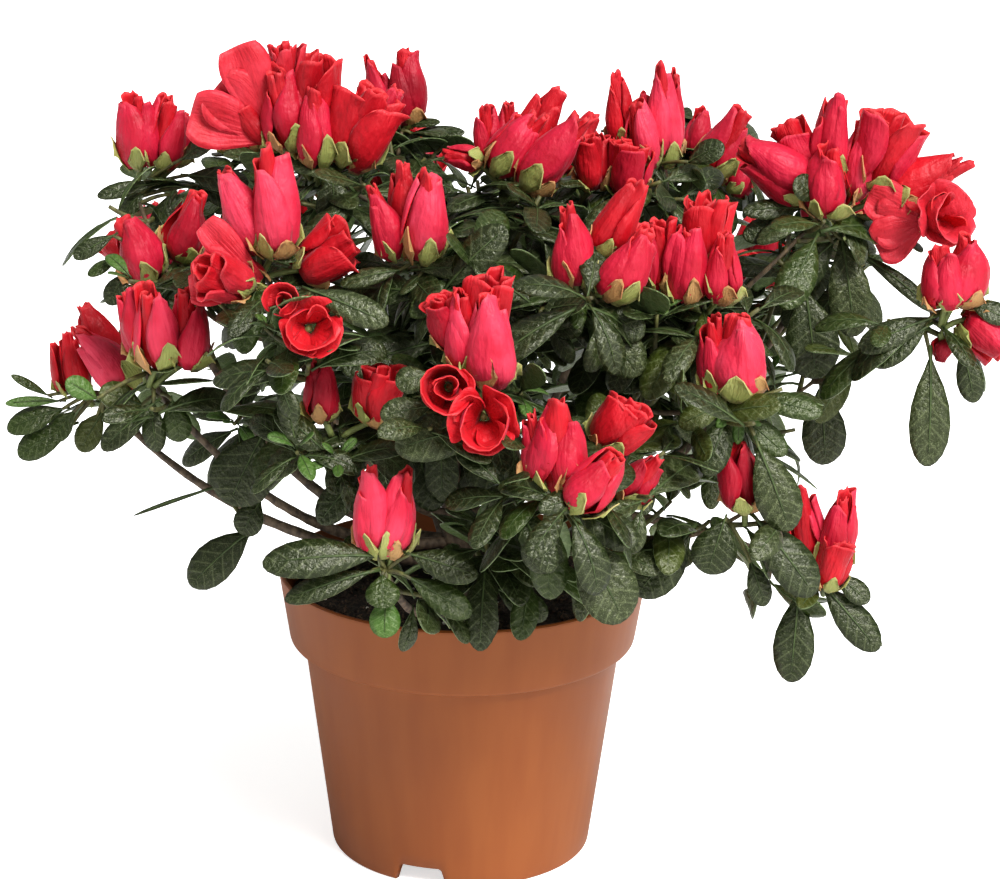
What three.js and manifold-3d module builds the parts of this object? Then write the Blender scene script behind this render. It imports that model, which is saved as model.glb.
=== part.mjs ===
// A small evergreen azalea in bud and bloom, grown as a low dome in a plastic pot.
// Millimetres, +Z up. The origin is the middle of the pot's underside.
// Turns are degrees round +Z, counted from +X towards +Y, so 270 is the side facing -Y.

import * as THREE from 'three';
import { mergeVertices } from 'three/addons/utils/BufferGeometryUtils.js';
import Module from 'manifold-3d';

const wasm = await Module();
wasm.setup();

// Clearance kept between pieces that touch, and the distance within which corners are one corner.
const gap = 0.3;
const weld = 1e-4;

// Pot: a tapered wall, a wide rim band with a ledge under it, and a floor raised on a foot ring.
const potHeight = 102.7;
const rimRadius = 65;
const bandHeight = 25.2;
const bandFootRadius = 61.2;
const bodyTopRadius = 56.4;
const baseRadius = 46.7;
const footRound = 2.5;
const rimEdge = 1;
const wallThickness = 1.6;
const floorRise = 8;
const potSides = 40;

// Notches in the foot ring let water run out, and round holes drain the floor.
const notchCount = 3;
const notchTurn = 253;
const notchWidth = 17;
const notchHeight = 6.5;
const drainCount = 6;
const drainRadius = 4;
const drainRing = 30;
const drainSides = 12;

// Soil: fills the pot to a little below the rim and is heaped slightly round the trunk.
const soilBelowRim = 10;
const soilHeap = 2;
const soilHeapRadius = 15;
const soilTop = potHeight - soilBelowRim + soilHeap;

// Trunk: short, leaning a little, flared where it meets the soil.
const flareRadius = 11;
const trunkRadius = 7;
const forkRadius = 5;
const flareHeight = 8;
const trunkLength = 36;
const trunkLean = 3;
const trunkLeanTurn = 200;
const trunkSides = 12;
const trunkSteps = 6;

// Boughs leave the trunk at three levels, one above the other, so that they don't crowd.
const boughSides = 7;
const boughSteps = 7;
const boughFootRadius = 3.2;
const boughTipRadius = 1.7;
const firstBoughHeight = 10;
const boughLevelStep = 9;
const boughLevels = 3;
const boughSag = 0.16;

// Masses: lumpy cushions of foliage and bloom round each leading shoot, flatter underneath.
// Rise and drop are their half heights above and below the widest part, as shares of the spread.
const massDetail = 3;
const riseShare = 0.94;
const dropShare = 0.72;
const bloomLift = 12;
const lumpDepth = 0.1;

// Every mass is round one shoot. Its shoot's tip is turn and out from the pot's axis, and as high
// as its tier plus its lift. Spread is the mass's half width.
const tiers = [
  {
    height: 242,
    shoots: [
      { name: 'left_crest', turn: 170, out: 114, lift: -8, spread: 36 },
      { name: 'crown_left', turn: 182, out: 50, lift: 0, spread: 39 },
      { name: 'crown_back_left', turn: 110, out: 64, lift: 4, spread: 34 },
      { name: 'crown_middle', turn: 356, out: 16, lift: -1, spread: 36 },
      { name: 'crown_right', turn: 12, out: 62, lift: 2, spread: 37 },
      { name: 'crown_back', turn: 68, out: 74, lift: -6, spread: 34 },
      { name: 'back_left_crest', turn: 136, out: 112, lift: -10, spread: 36 },
      { name: 'back_right_crest', turn: 36, out: 108, lift: -1, spread: 34 },
      { name: 'right_crest', turn: 1, out: 122, lift: -6, spread: 41 },
    ],
  },
  {
    height: 215,
    shoots: [
      { name: 'left_pair', turn: 192, out: 106, lift: -2, spread: 32 },
      { name: 'left_front_crest', turn: 226, out: 84, lift: 12, spread: 36 },
      { name: 'left_rosette', turn: 243, out: 112, lift: -4, spread: 27 },
      { name: 'front_crest', turn: 257, out: 62, lift: 12, spread: 32 },
      { name: 'front_right_crest', turn: 300, out: 82, lift: 6, spread: 33 },
      { name: 'right_front_crest', turn: 322, out: 96, lift: 0, spread: 36 },
      { name: 'far_right', turn: 343, out: 140, lift: -9, spread: 36 },
      { name: 'back_right_shoulder', turn: 22, out: 143, lift: -6, spread: 35 },
      { name: 'back_shoulder', turn: 62, out: 120, lift: -4, spread: 36 },
      { name: 'back_left_shoulder', turn: 102, out: 116, lift: 0, spread: 37 },
      { name: 'far_back_left', turn: 150, out: 138, lift: -17, spread: 34 },
    ],
  },
  {
    height: 185,
    shoots: [
      { name: 'far_left', turn: 172, out: 134, lift: -19, spread: 39 },
      { name: 'left_trio', turn: 207, out: 116, lift: 0, spread: 34 },
      { name: 'front_left_pair', turn: 249, out: 101, lift: 0, spread: 31 },
      { name: 'front_cluster', turn: 273, out: 112, lift: 14, spread: 36 },
      { name: 'front_open_pair', turn: 295, out: 120, lift: 0, spread: 32 },
      { name: 'front_right_bud', turn: 318, out: 122, lift: 5, spread: 35 },
      { name: 'right_drape', turn: 2, out: 140, lift: -14, spread: 33 },
      { name: 'back_right_fall', turn: 44, out: 144, lift: -9, spread: 34 },
      { name: 'back_middle_fall', turn: 82, out: 132, lift: -9, spread: 36 },
      { name: 'back_left_fall', turn: 121, out: 144, lift: -7, spread: 35 },
    ],
  },
  {
    height: 140,
    shoots: [
      { name: 'left_drape', turn: 219, out: 100, lift: 8, spread: 31 },
      { name: 'front_low_pair', turn: 259, out: 122, lift: 1, spread: 34 },
      { name: 'front_skirt', turn: 277, out: 92, lift: -4, spread: 27 },
      { name: 'front_low_cluster', turn: 286, out: 136, lift: 22, spread: 31 },
      { name: 'right_skirt', turn: 307, out: 102, lift: -5, spread: 28 },
      { name: 'right_low_bud', turn: 317, out: 132, lift: 12, spread: 30 },
      { name: 'right_low_trio', turn: 333, out: 136, lift: -20, spread: 33 },
      { name: 'back_right_skirt', turn: 25, out: 112, lift: 4, spread: 34 },
      { name: 'back_skirt', turn: 66, out: 110, lift: 0, spread: 35 },
      { name: 'back_left_skirt', turn: 108, out: 112, lift: -2, spread: 35 },
      { name: 'left_back_skirt', turn: 148, out: 104, lift: 4, spread: 33 },
    ],
  },
  {
    height: 200,
    shoots: [
      { name: 'heart_front', turn: 265, out: 22, lift: -4, spread: 34 },
      { name: 'heart_back', turn: 85, out: 58, lift: -8, spread: 35 },
      { name: 'heart_right', turn: 340, out: 68, lift: -8, spread: 33 },
    ],
  },
];

// Each bough ends in one mass. Bow swings its middle sideways, to the left as seen from the trunk.
const boughs = [
  { name: 'left_low_bough', to: 'far_left', bow: 34 },
  { name: 'front_low_bough', to: 'front_low_pair', bow: 0 },
  { name: 'right_low_bough', to: 'right_low_trio', bow: 0 },
  { name: 'back_bough', to: 'back_left_shoulder', bow: 4 },
  { name: 'left_front_bough', to: 'left_trio', bow: -6 },
  { name: 'front_right_bough', to: 'front_open_pair', bow: 6 },
  { name: 'right_bough', to: 'back_right_shoulder', bow: -6 },
  { name: 'back_left_bough', to: 'far_back_left', bow: 8 },
  { name: 'left_high_bough', to: 'left_front_crest', bow: 0 },
  { name: 'right_high_bough', to: 'right_front_crest', bow: 0 },
  { name: 'back_right_bough', to: 'back_shoulder', bow: 0 },
  { name: 'middle_bough', to: 'heart_front', bow: 0 },
];

// ---------------------------------------------------------------- materials

function potPlastic() {
  return new THREE.MeshStandardMaterial({ color: 0x9c5830, roughness: 0.45, metalness: 0 });
}

function moistPeat() {
  return new THREE.MeshStandardMaterial({ color: 0x1c1512, roughness: 1, metalness: 0 });
}

function bark() {
  return new THREE.MeshStandardMaterial({ color: 0x5b4632, roughness: 0.85, metalness: 0 });
}

function foliage() {
  return new THREE.MeshStandardMaterial({ color: 0x34482f, roughness: 0.6, metalness: 0 });
}

// ---------------------------------------------------------------- solids and booleans

function solidOf(geometry) {
  const plain = geometry.clone();
  plain.deleteAttribute('normal');
  plain.deleteAttribute('uv');
  const merged = mergeVertices(plain, weld);
  return new wasm.Manifold(
    new wasm.Mesh({
      numProp: 3,
      vertProperties: new Float32Array(merged.attributes.position.array),
      triVerts: new Uint32Array(merged.index.array),
    }),
  );
}

function geometryOf(solid) {
  const mesh = solid.getMesh();
  const geometry = new THREE.BufferGeometry();
  geometry.setAttribute('position', new THREE.BufferAttribute(mesh.vertProperties, 3));
  geometry.setIndex(new THREE.BufferAttribute(mesh.triVerts, 1));
  geometry.computeVertexNormals();
  return geometry;
}

function polar(turn, out, up) {
  const angle = THREE.MathUtils.degToRad(turn);
  return new THREE.Vector3(out * Math.cos(angle), out * Math.sin(angle), up);
}

// Turns a profile of [radius, height] pairs about the vertical axis.
function turned(profile, sides) {
  const points = profile.map(([radius, height]) => new THREE.Vector2(radius, height));
  return new THREE.LatheGeometry(points, sides).rotateX(Math.PI / 2);
}

// A limb with a true taper: a capped, tapering cylinder whose length is bent along a curve.
function limb(curve, radiusAt, sides, steps) {
  const geometry = new THREE.CylinderGeometry(1, 1, 1, sides, steps);
  const frames = curve.computeFrenetFrames(steps, false);
  const position = geometry.attributes.position;
  const point = new THREE.Vector3();
  for (let i = 0; i < position.count; i += 1) {
    const step = Math.round((0.5 - position.getY(i)) * steps);
    const share = step / steps;
    const radius = radiusAt(share);
    point.copy(curve.getPointAt(share));
    point.addScaledVector(frames.normals[step], position.getX(i) * radius);
    point.addScaledVector(frames.binormals[step], position.getZ(i) * radius);
    position.setXYZ(i, point.x, point.y, point.z);
  }
  return geometry;
}

// ---------------------------------------------------------------- pot and soil

function potGeometry() {
  const ledge = potHeight - bandHeight;
  const innerBase = baseRadius + (bodyTopRadius - baseRadius) * (floorRise / ledge) - wallThickness;
  const shell = turned(
    [
      [0, floorRise],
      [innerBase - footRound, floorRise],
      [baseRadius - wallThickness - footRound, 0],
      [baseRadius - footRound, 0],
      [baseRadius, footRound],
      [bodyTopRadius, ledge],
      [bandFootRadius, ledge],
      [rimRadius, potHeight - rimEdge],
      [rimRadius - rimEdge / 2, potHeight],
      [rimRadius - wallThickness, potHeight],
      [bandFootRadius - wallThickness, ledge + wallThickness],
      [bodyTopRadius - wallThickness, ledge + wallThickness],
      [innerBase, floorRise + wallThickness],
      [0, floorRise + wallThickness],
    ],
    potSides,
  );
  let solid = solidOf(shell);
  for (let i = 0; i < notchCount; i += 1) {
    const turn = notchTurn + (360 / notchCount) * i;
    const notch = new THREE.BoxGeometry(baseRadius, notchWidth, 2 * notchHeight);
    notch.translate(baseRadius, 0, 0);
    notch.rotateZ(THREE.MathUtils.degToRad(turn));
    solid = solid.subtract(solidOf(notch));
  }
  for (let i = 0; i < drainCount; i += 1) {
    const place = polar((360 / drainCount) * i, drainRing, floorRise);
    const depth = 4 * wallThickness;
    const drain = new THREE.CylinderGeometry(drainRadius, drainRadius, depth, drainSides);
    drain.rotateX(Math.PI / 2);
    drain.translate(place.x, place.y, place.z);
    solid = solid.subtract(solidOf(drain));
  }
  return geometryOf(solid);
}

function soilGeometry() {
  const ledge = potHeight - bandHeight + wallThickness + gap;
  const bottom = floorRise + wallThickness + gap;
  const inset = wallThickness + 2 * gap;
  const rimSlope = (rimRadius - bandFootRadius) / bandHeight;
  const edge = soilTop - soilHeap;
  const bodySlope = (bodyTopRadius - baseRadius) / (potHeight - bandHeight);
  return turned(
    [
      [0, bottom],
      [baseRadius + bodySlope * bottom - inset, bottom],
      [bodyTopRadius - inset, ledge],
      [bandFootRadius - inset, ledge],
      [bandFootRadius + rimSlope * (edge - ledge) - inset, edge],
      [soilHeapRadius, soilTop],
      [0, soilTop],
    ],
    potSides,
  );
}

// ---------------------------------------------------------------- trunk and boughs

function trunkPoint(height) {
  return polar(trunkLeanTurn, (trunkLean * height) / trunkLength, soilTop + gap + height);
}

function trunkSolid(extra) {
  const straight = new THREE.LineCurve3(
    new THREE.Vector3(0, 0, soilTop + gap),
    new THREE.Vector3(0, 0, soilTop + gap + trunkLength + extra),
  );
  const radiusAt = (share) => {
    const height = share * trunkLength;
    const taper = trunkRadius + (forkRadius - trunkRadius) * share;
    const flare = (flareRadius - trunkRadius) * Math.exp((-2 * height) / flareHeight);
    return taper + flare + extra;
  };
  const geometry = limb(straight, radiusAt, trunkSides, trunkSteps);
  // The lean slides each level sideways, so that the foot stays flat on the soil.
  const lean = polar(trunkLeanTurn, trunkLean / trunkLength, 0);
  const position = geometry.attributes.position;
  for (let i = 0; i < position.count; i += 1) {
    const height = position.getZ(i) - soilTop - gap;
    position.setX(i, position.getX(i) + lean.x * height);
    position.setY(i, position.getY(i) + lean.y * height);
  }
  return solidOf(geometry);
}

function boughSolid(bough, index, masses, extra) {
  const start = trunkPoint(firstBoughHeight + boughLevelStep * (index % boughLevels));
  const end = masses.find((mass) => mass.name === bough.to).centre;
  const along = new THREE.Vector3().subVectors(end, start);
  const sideways = new THREE.Vector3(-along.y, along.x, 0).normalize();
  const middle = start.clone().addScaledVector(along, 0.5);
  middle.addScaledVector(sideways, bough.bow);
  middle.z -= boughSag * along.length();
  const curve = new THREE.CatmullRomCurve3([start, middle, end]);
  const radiusAt = (share) => boughFootRadius + (boughTipRadius - boughFootRadius) * share + extra;
  return solidOf(limb(curve, radiusAt, boughSides, boughSteps));
}

// Of the pieces that a bough is cut into, the one that is joined to the trunk.
function pieceAt(solid, point) {
  const distance = (piece) => {
    const box = piece.boundingBox();
    const nearest = point.clone().clamp(new THREE.Vector3(...box.min), new THREE.Vector3(...box.max));
    return nearest.distanceTo(point);
  };
  return solid.decompose().sort((a, b) => distance(a) - distance(b))[0];
}

// ---------------------------------------------------------------- masses of foliage

function massList() {
  const masses = [];
  for (const tier of tiers) {
    for (const shoot of tier.shoots) {
      const centre = polar(shoot.turn, shoot.out, tier.height + shoot.lift + bloomLift);
      masses.push({ name: shoot.name, centre, spread: shoot.spread, seed: masses.length });
    }
  }
  return masses;
}

// How far a lumpy, flat-bottomed cushion reaches in a direction, before its neighbours cut it:
// a squashed sphere, swollen by two crossed waves that start elsewhere on each mass.
function cushionReach(mass, direction) {
  const tall = mass.spread * (direction.z > 0 ? riseShare : dropShare);
  const across = Math.hypot(direction.x, direction.y) / mass.spread;
  const reach = 1 / Math.hypot(across, direction.z / tall);
  const first = Math.sin(5 * direction.x + 4 * direction.z + 1.7 * mass.seed);
  const second = Math.sin(6 * direction.y - 4 * direction.x + 2.9 * mass.seed);
  return reach * (1 + lumpDepth * (first + second));
}

// Each neighbour stops the cushion at the plane that shares the space between the two.
function massGeometry(mass, masses, extra) {
  const geometry = new THREE.OctahedronGeometry(1, massDetail);
  const position = geometry.attributes.position;
  const direction = new THREE.Vector3();
  const towards = new THREE.Vector3();
  for (let i = 0; i < position.count; i += 1) {
    direction.fromBufferAttribute(position, i).normalize();
    let reach = cushionReach(mass, direction) + extra;
    for (const other of masses) {
      if (other === mass) {
        continue;
      }
      towards.subVectors(other.centre, mass.centre);
      const apart = towards.length();
      const lean = towards.normalize().dot(direction);
      const share = (apart ** 2 + mass.spread ** 2 - other.spread ** 2) / (2 * apart);
      if (lean > 0) {
        reach = Math.min(reach, (share - gap / 2 + extra) / lean);
      }
    }
    position.setXYZ(
      i,
      mass.centre.x + direction.x * reach,
      mass.centre.y + direction.y * reach,
      mass.centre.z + direction.z * reach,
    );
  }
  return geometry;
}

// ---------------------------------------------------------------- assembly

function add(group, name, geometry, material) {
  const mesh = new THREE.Mesh(geometry, material);
  mesh.name = name;
  group.add(mesh);
}

function addBoughs(group, masses) {
  let taken = trunkSolid(gap);
  for (const mass of masses) {
    taken = taken.add(solidOf(massGeometry(mass, masses, 1.5 * gap)));
  }
  boughs.forEach((bough, index) => {
    const whole = boughSolid(bough, index, masses, 0);
    const start = trunkPoint(firstBoughHeight + boughLevelStep * (index % boughLevels));
    add(group, bough.name, geometryOf(pieceAt(whole.subtract(taken), start)), bark());
    taken = taken.add(boughSolid(bough, index, masses, gap));
  });
}

function buildAzalea() {
  const group = new THREE.Group();
  const masses = massList();
  add(group, 'pot', potGeometry(), potPlastic());
  add(group, 'soil', soilGeometry(), moistPeat());
  add(group, 'trunk', geometryOf(trunkSolid(0)), bark());
  addBoughs(group, masses);
  for (const mass of masses) {
    add(group, mass.name, massGeometry(mass, masses, 0), foliage());
  }
  return group;
}

export default buildAzalea();
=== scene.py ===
"""An evergreen azalea in bud and bloom, in its plastic pot.

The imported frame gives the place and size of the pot, the soil, the trunk, each bough and each mass
of foliage. Each mass is replaced by shoots, leaves and blossom that grow on from the limbs by a
seeded rule. Lengths inside the classes are millimetres and become metres when a mesh is written.
"""
import logging
import math
from dataclasses import dataclass, field, replace
from enum import Enum

import bpy
import numpy as np
from mathutils import Matrix, Vector


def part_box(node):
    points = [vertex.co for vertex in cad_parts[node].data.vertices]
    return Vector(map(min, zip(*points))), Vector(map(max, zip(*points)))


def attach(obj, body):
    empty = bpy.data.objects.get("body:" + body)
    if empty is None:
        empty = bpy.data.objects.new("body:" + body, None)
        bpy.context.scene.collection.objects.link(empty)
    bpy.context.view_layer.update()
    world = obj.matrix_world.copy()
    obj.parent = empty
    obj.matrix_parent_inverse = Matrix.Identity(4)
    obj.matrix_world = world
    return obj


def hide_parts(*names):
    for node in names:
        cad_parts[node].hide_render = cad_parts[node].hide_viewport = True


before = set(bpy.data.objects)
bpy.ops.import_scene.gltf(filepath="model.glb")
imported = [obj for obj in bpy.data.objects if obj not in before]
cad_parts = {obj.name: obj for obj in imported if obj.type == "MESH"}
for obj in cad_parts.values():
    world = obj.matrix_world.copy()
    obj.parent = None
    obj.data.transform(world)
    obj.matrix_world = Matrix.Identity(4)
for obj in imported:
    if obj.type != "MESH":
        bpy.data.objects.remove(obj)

LOG = logging.getLogger("azalea")
MM = 0.001
BODY = "root"
GOLDEN_ANGLE = math.radians(137.5)
FULL_TURN = 2 * math.pi
ANY_PHASE = (0.0, 6.28)
CAP_SHARE = 0.02
CAMERA_PLACE = (0.0125, -1.000, 0.463)
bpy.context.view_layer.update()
Array = np.ndarray
UP = np.array([0.0, 0.0, 1.0])


# ---- vectors


def unit(vectors: Array) -> Array:
    """Scales vectors, with x, y, z on the array's last axis, to length one."""
    return vectors / np.maximum(np.linalg.norm(vectors, axis=-1, keepdims=True), 1e-9)


def across(vector: Array, axis: Array) -> Array:
    """Takes from each vector its part along a unit axis, and scales the rest to length one."""
    return unit(vector - np.sum(vector * axis, axis=-1, keepdims=True) * axis)


def leaning(lean: float, nod: float) -> Array:
    """Gives an upright axis tipped to the right and then towards the front.

    Args:
        lean: Degrees towards +X.
        nod: Degrees towards -Y.

    Returns:
        The tipped unit axis.
    """
    side, front = math.radians(lean), math.radians(nod)
    tipped = np.array([math.sin(side), 0.0, math.cos(side)])
    return math.cos(front) * tipped + math.sin(front) * np.array([0.0, -1.0, 0.0])


def node_box(name: str) -> tuple[Array, Array]:
    """Gives a frame node's lowest and highest corners in millimetres."""
    low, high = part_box(name)
    return np.array(low) / MM, np.array(high) / MM


# ---- meshes


@dataclass
class Piece:
    """One joined mesh, gathered from grids of points and written at the end."""

    name: str
    slot: str
    finishes: list
    replaces: list = field(default_factory=list)
    points: list = field(default_factory=list)
    faces: list = field(default_factory=list)
    coords: list = field(default_factory=list)
    sides: list = field(default_factory=list)
    rounds: list = field(default_factory=list)
    count: int = 0

    def _take(
        self, points: Array, faces: Array, coords: Array, sides: Array, rounded: Array
    ) -> None:
        """Adds N copies of one layout of faces.

        Args:
            points: N by P by 3 places in millimetres.
            faces: F by 4 corner numbers within one copy.
            coords: P by 2 surface coordinates of one copy.
            sides: F numbers of the finish that each face wears.
            rounded: F flags, true where a face is shaded as part of a curve.
        """
        copies, size = points.shape[:2]
        starts = self.count + size * np.arange(copies)
        self.points.append(points.reshape(-1, 3))
        self.faces.append((faces[None] + starts[:, None, None]).reshape(-1, 4))
        self.coords.append(np.tile(coords[faces], (copies, 1, 1)).reshape(-1, 2))
        self.sides.append(np.tile(sides, copies))
        self.rounds.append(np.tile(rounded, copies))
        self.count += copies * size

    def add_shells(self, sheets: Array, thickness: float, back_side: int = 0) -> None:
        """Adds thin closed shells: each sheet, the same sheet set back, and an edge between them.

        Args:
            sheets: N by rows by columns by 3 places of the front faces, in millimetres.
            thickness: How far the back lies behind the front.
            back_side: The number of the finish on the back.
        """
        copies, rows, cols = sheets.shape[:3]
        run = np.gradient(sheets, axis=2)
        rise = np.gradient(sheets, axis=1)
        backs = sheets - thickness * unit(np.cross(run, rise))
        points = np.concatenate(
            [sheets.reshape(copies, -1, 3), backs.reshape(copies, -1, 3)], axis=1
        )
        grid = np.arange(rows * cols).reshape(rows, cols)
        front = quads_of(grid)
        back = front[:, ::-1] + rows * cols
        rim = np.concatenate([grid[0, :-1], grid[:-1, -1], grid[-1, :0:-1], grid[:0:-1, 0]])
        after = np.roll(rim, -1)
        edge = np.stack([rim + rows * cols, after + rows * cols, after, rim], axis=1)
        u, v = np.meshgrid(np.linspace(0, 1, cols), np.linspace(0, 1, rows))
        coords = np.tile(np.stack([u.ravel(), v.ravel()], axis=1), (2, 1))
        faces = np.concatenate([front, back, edge])
        sides = np.where(np.arange(len(faces)) < len(front), 0, back_side)
        rounded = np.arange(len(faces)) < len(front) + len(back)
        self._take(points, faces, coords, sides, rounded)

    def add_tubes(self, rings: Array) -> None:
        """Adds closed tubes from rings of points, each end drawn in to a small flat cap.

        Args:
            rings: N by rows by sides by 3 places, in order along each tube.
        """
        copies, rows, count = rings.shape[:3]
        hubs = rings[:, [0, -1]].mean(axis=2, keepdims=True)
        caps = hubs + CAP_SHARE * (rings[:, [0, -1]] - hubs)
        full = np.concatenate([caps[:, :1], rings, caps[:, 1:]], axis=1)
        grid = np.arange((rows + 2) * count).reshape(rows + 2, count)
        closed = np.concatenate([grid, grid[:, :1]], axis=1)
        u, v = np.meshgrid(np.linspace(0, 1, count), np.linspace(0, 1, rows + 2))
        coords = np.stack([u.ravel(), v.ravel()], axis=1)
        faces = quads_of(closed)
        plain = np.zeros(len(faces), dtype=int)
        self._take(full.reshape(copies, -1, 3), faces, coords, plain, plain == 0)

    def write(self) -> bpy.types.Object:
        """Makes the mesh object, dresses it and ties it to the frame.

        Returns:
            The finished object.
        """
        points = np.concatenate(self.points) * MM
        faces = np.concatenate(self.faces).astype(np.int32)
        mesh = bpy.data.meshes.new(self.name)
        mesh.vertices.add(len(points))
        mesh.vertices.foreach_set("co", points.ravel())
        mesh.loops.add(faces.size)
        mesh.loops.foreach_set("vertex_index", faces.ravel())
        mesh.polygons.add(len(faces))
        mesh.polygons.foreach_set("loop_start", np.arange(0, faces.size, 4, dtype=np.int32))
        mesh.polygons.foreach_set("material_index", np.concatenate(self.sides).astype(np.int32))
        mesh.polygons.foreach_set("use_smooth", np.concatenate(self.rounds))
        mesh.update(calc_edges=True)
        layer = mesh.uv_layers.new(name="surface")
        layer.data.foreach_set("uv", np.concatenate(self.coords).astype(np.float32).ravel())
        for finish in self.finishes:
            mesh.materials.append(finish.material())
        made = bpy.data.objects.new(self.name, mesh)
        bpy.context.scene.collection.objects.link(made)
        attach(made, BODY)
        if self.replaces:
            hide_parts(*self.replaces)
        LOG.info("%s: %d triangles", self.name, 2 * len(faces))
        return made


def quads_of(grid: Array) -> Array:
    """Lists the four corners of each cell of a grid of point numbers, turning from u to v."""
    return np.stack(
        [grid[:-1, :-1], grid[:-1, 1:], grid[1:, 1:], grid[1:, :-1]], axis=-1
    ).reshape(-1, 4)


def tube_rings(paths: Array, radii: Array, sides: int) -> Array:
    """Carries a round section along each path.

    Each ring is the path's point, plus the radius times cosine and sine of the angle along two
    directions square to the path.

    Args:
        paths: N by K by 3 points.
        radii: N by K radii.
        sides: Points in each ring.

    Returns:
        N by K by sides by 3 points.
    """
    along = unit(np.gradient(paths, axis=1))
    chord = unit(paths[:, -1] - paths[:, 0])
    helper = np.where(np.abs(chord[:, 2:]) > 0.8, np.array([[1.0, 0.0, 0.0]]), UP[None])
    first = across(np.broadcast_to(helper[:, None], paths.shape), along)
    second = np.cross(along, first)
    angle = np.linspace(0, FULL_TURN, sides, endpoint=False)
    spoke = (
        np.cos(angle)[None, None, :, None] * first[:, :, None]
        + np.sin(angle)[None, None, :, None] * second[:, :, None]
    )
    return paths[:, :, None] + radii[:, :, None, None] * spoke


def bend(start: Array, middle: Array, end: Array, steps: int) -> Array:
    """Runs a smooth curve from start to end, pulled towards the middle point.

    The curve is a quadratic: (1-t) squared of start, 2t(1-t) of middle and t squared of end.

    Args:
        start: N by 3 or 3 numbers.
        middle: The pulling point.
        end: The last point.
        steps: How many points.

    Returns:
        N by steps by 3 points.
    """
    t = np.linspace(0, 1, steps)[None, :, None]
    first, pull, last = (np.atleast_2d(p)[:, None] for p in (start, middle, end))
    return (1 - t) ** 2 * first + 2 * t * (1 - t) * pull + t**2 * last


# ---- finishes


Socket = bpy.types.NodeSocket


class Shared(Enum):
    """The node groups that more than one material uses, by their names."""

    FLECKS = "fine_flecks"
    VEINS = "side_veins"
    STREAKS = "long_streaks"


class Shading:
    """Builds one material's nodes, with short calls for the ones that repeat."""

    def __init__(self, name: str) -> None:
        """Starts a material with one Principled shader and its output."""
        self.made = bpy.data.materials.new(name)
        self.made.use_nodes = True
        self.tree = self.made.node_tree
        self.shader = self.tree.nodes["Principled BSDF"]

    def node(self, kind: str, inputs: dict | None = None, **settings: object) -> bpy.types.Node:
        """Adds a node, as add_node does."""
        return add_node(self.tree, kind, inputs, **settings)

    def place(self) -> Socket:
        """Gives the socket that tells where on the object a point lies."""
        return self.node("ShaderNodeTexCoord").outputs["Object"]

    def surface(self) -> Socket:
        """Gives the socket of the mesh's own surface coordinates."""
        return self.node("ShaderNodeUVMap", uv_map="surface").outputs["UV"]

    def group(self, shared: Shared, **inputs: object) -> bpy.types.NodeOutputs:
        """Places a shared group, built when it is first asked for, and gives its outputs."""
        tree = bpy.data.node_groups.get(shared.value) or GROUP_BUILDERS[shared]()
        return self.node("ShaderNodeGroup", inputs, node_tree=tree).outputs

    def mix(self, share: object, low: object, high: object) -> Socket:
        """Mixes two colours: the low one where the share is 0, the high one where it is 1."""
        made = self.node("ShaderNodeMix", {0: share, 6: low, 7: high}, data_type="RGBA")
        return made.outputs[2]

    def times(self, first: Socket, second: object) -> Socket:
        """Multiplies two values."""
        return self.node("ShaderNodeMath", {0: first, 1: second}, operation="MULTIPLY").outputs[0]

    def stretch(
        self, value: Socket, low: float, high: float, to_low: float = 0.0, to_high: float = 1.0
    ) -> Socket:
        """Stretches the values from low to high evenly over another span, and stops at its ends."""
        ends = {"From Min": low, "From Max": high, "To Min": to_low, "To Max": to_high}
        return self.node("ShaderNodeMapRange", {"Value": value, **ends}).outputs["Result"]

    def bump(self, height: Socket, strength: float, distance: float, under: tuple = ()) -> Socket:
        """Raises the surface by a height in metres.

        Args:
            height: Where it is high and low.
            strength: How much of the bump shows.
            distance: The height that 1 stands for.
            under: The bump that this one lies on, if there is one.

        Returns:
            The socket of the raised normal.
        """
        inputs = {"Height": height, "Strength": strength, "Distance": distance}
        inputs.update({"Normal": normal for normal in under})
        return self.node("ShaderNodeBump", inputs).outputs[0]

    def wear(self, **values: object) -> bpy.types.Material:
        """Sets or feeds the shader's sockets, with _ for a space, and gives the material."""
        for name, value in values.items():
            put(self.tree, self.shader.inputs[name.replace("_", " ")], value)
        return self.made


def put(tree: bpy.types.NodeTree, socket: Socket, value: object) -> None:
    """Links a socket to another, or sets its value.

    Args:
        tree: The tree that both sockets are in.
        socket: The socket to feed.
        value: A socket, a number, or a colour of three numbers.
    """
    if isinstance(value, Socket):
        tree.links.new(value, socket)
    elif isinstance(value, tuple) and len(value) == 3 and socket.type == "RGBA":
        socket.default_value = (*value, 1.0)
    else:
        socket.default_value = value


def add_node(
    tree: bpy.types.NodeTree, kind: str, inputs: dict | None, **settings: object
) -> bpy.types.Node:
    """Adds a node to a tree, with its settings and inputs.

    Args:
        tree: Where the node goes.
        kind: The node's type name.
        inputs: Socket names or numbers and their values or feeding sockets.
        settings: The node's own settings.

    Returns:
        The new node.
    """
    made = tree.nodes.new(kind)
    for name, value in settings.items():
        setattr(made, name, value)
    for key, value in (inputs or {}).items():
        put(tree, made.inputs[key], value)
    return made


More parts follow.
